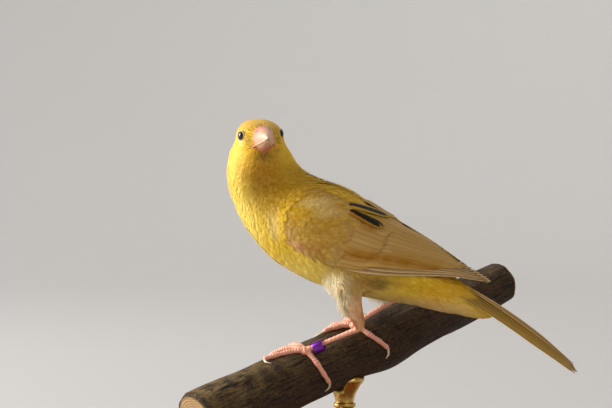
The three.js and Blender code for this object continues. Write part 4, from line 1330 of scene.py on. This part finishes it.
def mandible(name, upper):
    bpy.ops.mesh.primitive_uv_sphere_add(segments=96, ring_count=88)
    piece = bpy.context.object
    piece.name = name
    ball = np.empty(len(piece.data.vertices) * 3)
    piece.data.vertices.foreach_get("co", ball)
    ball = ball.reshape(-1, 3)
    t = np.arccos(np.clip(ball[:, 2], -1, 1)) / math.pi
    local = beak_form.point(t, np.arctan2(ball[:, 1], ball[:, 0]), 0.0)
    line = bite_height(local[:, 0])
    above = local[:, 2] - line
    if upper:
        lip = 0.1 * smooth01(np.abs(above), 0.9, 0.1) * np.sign(local[:, 1])
        local[:, 1] += np.where(np.abs(local[:, 1]) > 0.4, lip, 0)
        local[:, 2] = np.maximum(local[:, 2], line + BITE["gap"])
        for side in (-1, 1):
            pit = np.array((NOSTRIL["x"], side * NOSTRIL["y"], NOSTRIL["z"]))
            near = np.exp(-(np.linalg.norm((local - pit) * (0.75, 1, 1), axis=1) / NOSTRIL["reach"]) ** 2)
            local -= unit(pit - (NOSTRIL["x"], 0, 0)) * (NOSTRIL["deep"] * near)[:, None]
    else:
        local[:, 1] *= 0.96
        local[:, 2] = np.minimum(local[:, 2], line - BITE["gap"])
    turned_out = local @ np.array(head_turn).T + np.array(HEAD["centre"])
    set_coordinates(piece.data, turned_out)
    edit()
    bpy.ops.mesh.normals_make_consistent(inside=False)
    leave_edit()
    bpy.ops.object.shade_smooth_by_angle(angle=math.radians(60))
    along = np.clip((local[:, 0] - 8) / 9.6, 0, 1)
    # Where the nostrils lie, for their painted shade.
    nostril_shade = np.max([np.exp(-(np.linalg.norm(local - (NOSTRIL["x"], side * 1.85, 3.7), axis=1) / 0.4) ** 2)
                   for side in (-1, 1)], axis=0)
    shade_points(piece, along, np.clip(np.abs(above) / 3, 0, 1), nostril_shade if upper else 0)
    return piece


# The lower half's deeper red is partly its own colour and partly painted shade.
HORN = {"beak_horn_upper": (True, hue(198, 128, 106), "beak_upper"),
        "beak_horn_lower": (False, hue(186, 98, 72), "beak_lower")}
for name, (upper, flesh_pink, node) in HORN.items():
    horn, nodes, place, shader = finish(name, 0.46, Subsurface_Weight=0.1)
    shader.inputs["Subsurface Radius"].default_value = (0.0012, 0.0006, 0.0004)
    along, height, nostril_shade = marks(nodes)
    clouded = nodes.sums("ADD", along, nodes.noise(place, 420, 4))
    colour = nodes.blend(nodes.fade(clouded, 0.5, 1.5), flesh_pink, hue(214, 170, 138))
    # Pale cutting edges along the mouth line: partly their own colour, partly a painted highlight.
    colour = nodes.blend(nodes.fade(height, 0.2, 0.03, 0, 0.85), colour, hue(222, 190, 152))
    colour = nodes.blend(nodes.fade(along, 0.14, 0.0, 0, 0.5), colour, hue(206, 140, 110))
    # Painted shade: the nostril openings are painted dark.
    colour = nodes.blend(nostril_shade, colour, hue(96, 44, 36))
    wire(nodes, shader, Base_Color=colour)
    grooves = nodes.noise(nodes.stretched(place, (300, 300, 1600)), 1.0, 4)
    bumped(nodes, shader, grooves, 0.00005, 0.5)
    piece = mandible(name, upper)
    wear(piece, horn, "beak")
    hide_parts(node)

GAPE_KNOTS = ((7.6, 3.9, -1.9), (8.4, 3.62, -1.55), (9.3, 3.42, -1.3), (10.2, 3.05, -1.2))
gape_skin, nodes, place, shader = finish("gape skin", 0.45)
colour = nodes.blend(nodes.noise(place, 1400, 3), hue(214, 104, 86), hue(232, 142, 118))
wire(nodes, shader, Base_Color=colour)
bumped(nodes, shader, nodes.noise(place, 5000, 2), 0.00004, 0.5)
for name, side in HEAD_SIDES.items():
    knots = [in_head(x, side * y, z)[:] for x, y, z in GAPE_KNOTS]
    corner = tube(f"gape_{name}", knots, (0.3, 0.42, 0.3, 0.12), 30, 16)
    wear(corner, gape_skin, "beak")

# Bristles: short stiff brown hairs round the base of the beak and over the lores. They are rooted
# where feathers are, and point away from the beak.
BRISTLES = {"count": 190, "reach": 5.8, "behind": -2.2, "length": (1.0, 2.2), "thick": 0.042}


def hairs(choice, run, lengths, swing, stand, thick):
    """Thin three-sided tapering hairs rooted on the skin, that run along it and stand off it."""
    base, out = roots[choice], root_normals[choice]
    side = unit(np.cross(out, run))
    rows = []
    for u in (0.0, 0.4, 0.75, 1.0):
        middle = base + run * (lengths * u * 0.85)[:, None] + side * (swing * lengths * u)[:, None]
        middle = middle + out * (0.25 + lengths * stand * (u - 0.56 * u * u))[:, None]
        if u == 1:
            rows.append(middle)
        else:
            for turn in (0, 2.094, 4.189):
                radius = thick * (1 - 0.8 * u)
                rows.append(middle + side * math.cos(turn) * radius + out * math.sin(turn) * radius)
    verts = np.stack(rows, 1).reshape(-1, 3)
    first = np.arange(len(choice))[:, None] * len(rows)
    quads = [first + (3 * r + k, 3 * r + (k + 1) % 3, 3 * r + 3 + (k + 1) % 3, 3 * r + 3 + k)
             for r in range(2) for k in range(3)]
    tips = [first + (6 + k, 6 + (k + 1) % 3, 9) for k in range(3)] + [first + (2, 1, 0)]
    cell = np.stack([np.arange(len(rows)) % 3, np.arange(len(rows)) // 3], 1) * 0.0006
    patch = np.repeat(root_charts[choice], len(rows), axis=0) + np.tile(cell, (len(choice), 1))
    return verts, [np.concatenate(quads), np.concatenate(tips)], patch


near = np.linalg.norm(roots - beak_root, axis=1)
ahead = (roots - beak_root) @ head_forward
around_beak = np.nonzero((near < BRISTLES["reach"]) & (ahead > BRISTLES["behind"]))[0]
chosen = random.permutation(around_beak)[:BRISTLES["count"]]
bristle_lengths = random.uniform(*BRISTLES["length"], len(chosen))
swing = random.normal(0, 0.35, len(chosen))
whiskers = mesh_piece("bristles", *hairs(
    chosen, unit(roots[chosen] - beak_root), bristle_lengths, swing, 0.5, BRISTLES["thick"]))
hair, nodes, place, shader = finish("bristle", 0.5)
wire(nodes, shader, Base_Color=nodes.blend(nodes.noise(place, 700, 2), hue(96, 62, 30), hue(150, 108, 54)))
wear(whiskers, hair, "plumage")

# Down on the thighs: loose cream hairs on the side that faces forwards. They are thickest in the
# middle of each thigh, and hang in front of the shin.
DOWN = {"count": 4800, "length": (3.0, 7.0), "stand": 0.75, "thick": 0.08, "reach": (7, 7, 9)}
THIGHS = np.array([(11, -9, 17), (22, 10, 23)])
from_thighs = [np.linalg.norm((roots - spot) / DOWN["reach"], axis=1) for spot in THIGHS]
fluff = smooth01(np.min(from_thighs, axis=0), 1.2, 0.5)
dense = np.where(root_normals[:, 0] < 0.3, fluff ** 2, 0)
chosen = random.choice(len(roots), DOWN["count"], p=dense / dense.sum())
hanging = flow_at(roots[chosen], root_normals[chosen])
hanging = unit(hanging + random.normal((0, 0, -0.9), 0.18, (len(chosen), 3)))
down_lengths = random.uniform(*DOWN["length"], len(chosen)) * (0.5 + 0.5 * fluff[chosen])
swing = random.normal(0, 0.2, len(chosen))
down_tufts = mesh_piece("thigh_down", *hairs(
    chosen, hanging, down_lengths, swing, DOWN["stand"], DOWN["thick"]))
soft, nodes, place, shader = finish("thigh down", 0.85, Specular_IOR_Level=0.2, Sheen_Weight=0.1)
colour = nodes.blend(nodes.noise(place, 500, 2), hue(255, 246, 218), hue(240, 220, 172))
wire(nodes, shader, Base_Color=colour)
wear(down_tufts, soft, "plumage")

# Legs: heel, tarsus, pad and toes are one scaled body for each leg, with broad plates down the
# front of the tarsus and along the top of every toe. The toes grip the bark.
LEGS = {
    "left": {
        "ankle": (19.6, -7.6, 7.6), "foot": (1.9, -7.7, 0.2), "stance": (0, 55),
        "toes": {
            "hallux": ((0.3, 46), (0.6, 24), (1.6, 2), (3, -16)),
            "inner": ((0.4, 72), (1.2, 94), (1.6, 118)),
            "middle": ((-0.8, 72), (-2.6, 96), (-5.2, 120), (-7.4, 138)),
            "outer": ((-1.4, 62), (-5, 74), (-9, 82), (-12.2, 86)),
        },
        "claws": {
            "hallux": ((3.5, -20), (3.6, -32), (2.4, -42)),
            "inner": ((1.6, 123), (1.2, 136), (0.4, 144)),
            "middle": ((-7.8, 143), (-8.4, 155), (-8.2, 164)),
            "outer": ((-12.8, 85), (-13.6, 75), (-12.6, 66)),
        },
    },
    "right": {
        "ankle": (28.6, 9, 16.4), "foot": (14.8, 8.2, 8), "stance": (22, 64),
        "toes": {
            "hallux": ((22.6, 54), (24, 34), (26, 14), (28, -2)),
            "inner": ((20.8, 76), (17.2, 86), (13.6, 92)),
            "middle": ((21.2, 84), (19.4, 106), (17.2, 128), (15.8, 144)),
            "outer": ((22.8, 82), (24.2, 104), (25.4, 128)),
        },
        "claws": {
            "hallux": ((28.5, -6), (28.4, -18), (27.4, -26)),
            "inner": ((13, 92), (10.8, 96), (9.4, 104)),
            "middle": ((15.4, 149), (14.8, 161), (14.8, 170)),
            "outer": ((25.6, 133), (26, 145), (25.6, 154)),
        },
    },
}
TARSUS_RADII = (0.7, 1.0, 0.86, 0.76, 0.76, 1.0, 1.3)
TARSUS_PLATE = 1.5
TOE = {"root": 1.0, "end": 0.8, "plate": 0.95, "sink": 0.08, "groove": 0.09}
LEG_VOXEL = 0.15


def on_bark(t, degrees, lift):
    return np.array(perch_point(t, math.radians(degrees), lift)[:])


def scutes(points, lines):
    """How many plates along its nearest line each point lies, and the plate length there."""
    best = np.full(len(points), 1e9)
    phase, plate = np.zeros(len(points)), np.ones(len(points))
    for line, length in lines:
        walked = 0.0
        for a, b in zip(line[:-1], line[1:]):
            run = b - a
            along = np.clip(((points - a) @ run) / (run @ run), 0, 1)
            gap = np.linalg.norm(points - (a + along[:, None] * run), axis=1)
            closer = gap < best
            best = np.where(closer, gap, best)
            phase = np.where(closer, (walked + along * np.linalg.norm(run)) / length, phase)
            plate = np.where(closer, length, plate)
            walked += np.linalg.norm(run)
    return phase, plate


scaled, nodes, place, shader = finish("scaled leg", 0.42, Subsurface_Weight=0.12)
shader.inputs["Subsurface Radius"].default_value = (0.0008, 0.0003, 0.0002)
groove, topside, _ = marks(nodes)
colour = nodes.blend(nodes.noise(place, 520, 4), hue(226, 142, 116), hue(238, 172, 146))
colour = nodes.blend(nodes.fade(topside, 0.2, 0.9, 0.0, 0.35), colour, hue(242, 190, 164))
colour = nodes.blend(nodes.fade(groove, 0.3, 1.0, 0.0, 0.6), colour, hue(176, 92, 70))
wire(nodes, shader, Base_Color=colour)
grit = nodes.noise(place, 3800, 3)
bumped(nodes, shader, nodes.sums("SUBTRACT", grit, nodes.sums("MULTIPLY", groove, 1.4)), 0.00008, 0.6)

claw_horn, nodes, place, shader = finish("claw horn", 0.3, Coat_Weight=0.2)
along, _, _ = marks(nodes)
colour = nodes.blend(nodes.fade(along, 0, 0.9), hue(206, 168, 132), hue(236, 222, 192))
streaks = nodes.noise(nodes.stretched(place, (900, 900, 3200)), 1.0, 3)
wire(nodes, shader, Base_Color=nodes.blend(nodes.fade(streaks, 0.4, 0.8, 0, 0.3), colour, hue(176, 134, 98)))
bumped(nodes, shader, streaks, 0.00003, 0.4)

for name, leg in LEGS.items():
    ankle, foot = np.array(leg["ankle"]), np.array(leg["foot"])
    shin = unit(foot - ankle)
    sole = np.linalg.norm(foot - ankle) - 1.6
    pad = on_bark(*leg["stance"], 1.0)
    shank = [ankle + shin * d for d in (-0.6, 1.4, 3.4, sole / 2, sole - 1.5, sole)]
    pieces = [
        tube("shank", shank + [pad], TARSUS_RADII, 90, 20),
        tube("sole", [pad - shin * 0.3, pad, pad + shin * 0.5], (1.3, 1.65, 1.3), 24, 20),
    ]
    lines = [(shank, TARSUS_PLATE)]
    for digit, route in leg["toes"].items():
        steps = len(route)
        knots, radii = [pad], [1.05]
        for index, (t, degrees) in enumerate(route):
            radius = lerp(TOE["root"], TOE["end"], (index + 1) / steps)
            knots.append(on_bark(t, degrees, radius - TOE["sink"]))
            radii.append(radius)
        dense = np.linspace(0, 1, 4 * steps + 1)
        line = spline(knots, dense)
        girth = spline(np.array(radii)[:, None], dense)[:, 0]
        girth = girth * (0.93 + 0.1 * np.cos(2 * math.pi * dense * steps))
        pieces.append(tube("toe", line, girth, 14 * steps, 18))
        lines.append((line, TOE["plate"]))
        hook = leg["claws"][digit]
        start = line[-1] + (line[-2] - line[-1]) * 0.3
        path = [start] + [on_bark(t, degrees, lift) for (t, degrees), lift in zip(hook, (0.6, 0.42, 0.22))]
        claw = tube(f"horn_{name}_{digit}", path, (0.56, 0.5, 0.34, 0.09), 44, 18, 0.8)
        walked = np.linalg.norm(coordinates(claw.data) - start, axis=1)
        shade_points(claw, np.clip(walked / walked.max(), 0, 1))
        wear(claw, claw_horn, "claw")
        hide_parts(f"claw_{name}_{digit}")
    limb = joined(f"leg_{name}", pieces)
    apply(limb, "REMESH", mode="VOXEL", voxel_size=LEG_VOXEL * MM)
    apply(limb, "SMOOTH", factor=0.5, iterations=4)
    points, outwards = coordinates(limb.data), normals_of(limb.data)
    phase, plate = scutes(points, lines)
    front = smooth01(outwards @ np.array(perch_over[:]), -0.2, 0.5)
    between = np.abs((phase % 1) - 0.5) * plate
    cut = np.exp(-((plate / 2 - between) / 0.13) ** 2) * front
    swell = np.cos(((phase % 1) - 0.5) * math.pi) * 0.05 * front
    set_coordinates(limb.data, points + outwards * (swell - TOE["groove"] * cut)[:, None])
    bpy.ops.object.shade_smooth()
    shade_points(limb, cut, front)
    wear(limb, scaled, "leg_skin")
    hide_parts(f"tarsus_{name}", f"foot_{name}")
    if name == "left":
        ring_middle = ankle + shin * (sole - 2.8) + (0, 0, -0.55)
        ring_axis = Vector(shin)

# Leg ring: a plain closed band of purple anodised aluminium, with its edges broken, that hangs
# loose on the left tarsus just above the foot.
RING = {"radius": 2.05, "thick": 0.42, "height": 3.4, "bevel": 0.1}
bpy.ops.mesh.primitive_cylinder_add(
    vertices=72, radius=RING["radius"], depth=RING["height"], end_fill_type="NOTHING")
band = bpy.context.object
band.name = "leg_band"
turn = ring_axis.to_track_quat("Z", "Y").to_matrix()
for vertex in band.data.vertices:
    vertex.co = at(*(Vector(ring_middle) + turn @ vertex.co))
apply(band, "SOLIDIFY", thickness=RING["thick"] * MM, offset=-1)
apply(band, "BEVEL", width=RING["bevel"] * MM, segments=3, limit_method="ANGLE", angle_limit=math.radians(40))
bpy.ops.object.shade_smooth_by_angle(angle=math.radians(35))
anodised, nodes, place, shader = finish("anodised band", 0.3, Metallic=1.0)
colour = nodes.blend(nodes.noise(place, 900, 3), hue(112, 44, 158), hue(140, 70, 184))
fine = nodes.noise(nodes.stretched(place, (700, 700, 9000)), 1.0, 4)
wire(nodes, shader, Base_Color=colour, Roughness=nodes.fade(fine, 0.3, 0.7, 0.22, 0.42))
bumped(nodes, shader, fine, 0.00002, 0.5)
wear(band, anodised, "ring_metal")
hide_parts("leg_ring")
